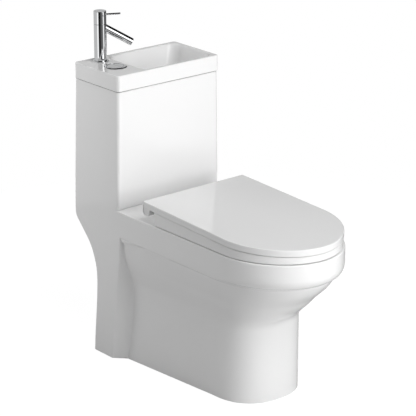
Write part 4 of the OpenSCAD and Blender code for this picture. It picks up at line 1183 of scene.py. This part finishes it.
def studio_floor(tone):
    """A round pale floor that the camera sees as white paper with a faint shadow."""
    deselect()
    bpy.ops.mesh.primitive_circle_add(vertices=128, radius=1.6, fill_type="NGON", location=(0, 0, 0))
    floor = bpy.context.object
    floor.name = "floor"
    material, tree, shader = shader_of("studio_floor")
    put(shader, {"Base Color": (*tone, 1), "Roughness": 0.9, "Specular IOR Level": 0.0})
    paper = add(tree, "ShaderNodeEmission", {"Color": WHITE, "Strength": PAPER_STRENGTH})
    seen_white(tree, shader, paper, tree.nodes["Material Output"], PAPER_SHARE)
    floor.data.materials.append(material)


def soft_lights():
    """Large soft lights that only the matt part of each surface answers to."""
    for name, aim, azimuth, elevation, distance, width, height, power in SOFT_LIGHTS:
        light = bpy.data.lights.new(name, "AREA")
        light.shape = "RECTANGLE"
        light.size, light.size_y, light.energy = width, height, power
        piece = linked(name, light)
        a, e = radians(azimuth), radians(elevation)
        out = Vector((sin(a) * cos(e), -cos(a) * cos(e), sin(e)))
        piece.location = Vector(aim) + out * distance
        piece.rotation_euler = out.to_track_quat("Z", "Y").to_euler()
        piece.visible_glossy = False
        piece.visible_camera = False


class TOILET_OT_stage(bpy.types.Operator):
    """Build the pale floor, the soft lights and the camera"""

    bl_idname = "toilet.stage"
    bl_label = "Stage"

    def execute(self, context):
        scene = context.scene
        look = scene.toilet_stage
        studio_floor(look.floor)
        studio_world(scene)
        soft_lights()

        camera = linked("camera", bpy.data.cameras.new("camera"))
        camera.data.sensor_width = 36.0
        camera.data.lens = look.lens
        camera.data.clip_end = 100.0
        camera.location = CAMERA_PLACE
        level = cos(CAMERA_PITCH)
        ahead = (sin(CAMERA_YAW) * level, cos(CAMERA_YAW) * level, -sin(CAMERA_PITCH))
        camera.rotation_euler = Vector(ahead).to_track_quat("-Z", "Y").to_euler()
        scene.camera = camera
        scene.view_settings.view_transform = "Standard"
        return {"FINISHED"}


class TOILET_PT_panel(bpy.types.Panel):
    """The pieces of the toilet, each with its button"""

    bl_idname = "TOILET_PT_panel"
    bl_label = "Toilet with hand basin"
    bl_space_type = "VIEW_3D"
    bl_region_type = "UI"
    bl_category = "Toilet"

    def draw(self, context):
        scene = context.scene
        for name in GROUPS:
            box = self.layout.box()
            group = getattr(scene, name)
            for key in group.__annotations__:
                box.prop(group, key)
        for operator in OPERATORS:
            self.layout.operator(operator.bl_idname)


GROUPS = {
    "toilet_china": ToiletChina, "toilet_seat": ToiletSeat, "toilet_metal": ToiletMetal,
    "toilet_stage": ToiletStage,
}
OPERATORS = (
    TOILET_OT_finishes, TOILET_OT_body, TOILET_OT_basin, TOILET_OT_seat, TOILET_OT_tap,
    TOILET_OT_buttons, TOILET_OT_waste, TOILET_OT_fixings, TOILET_OT_stage,
)


def register():
    for name, group in GROUPS.items():
        bpy.utils.register_class(group)
        setattr(bpy.types.Scene, name, bpy.props.PointerProperty(type=group))
    for operator in OPERATORS:
        bpy.utils.register_class(operator)
    bpy.utils.register_class(TOILET_PT_panel)


def unregister():
    bpy.utils.unregister_class(TOILET_PT_panel)
    for operator in reversed(OPERATORS):
        bpy.utils.unregister_class(operator)
    for name, group in GROUPS.items():
        delattr(bpy.types.Scene, name)
        bpy.utils.unregister_class(group)


def main():
    register()
    bpy.ops.toilet.finishes()
    bpy.ops.toilet.body()
    bpy.ops.toilet.basin()
    bpy.ops.toilet.seat()
    bpy.ops.toilet.tap()
    bpy.ops.toilet.buttons()
    bpy.ops.toilet.waste()
    bpy.ops.toilet.fixings()
    bpy.ops.toilet.stage()
    bpy.context.view_layer.update()


if __name__ == "__main__":
    main()
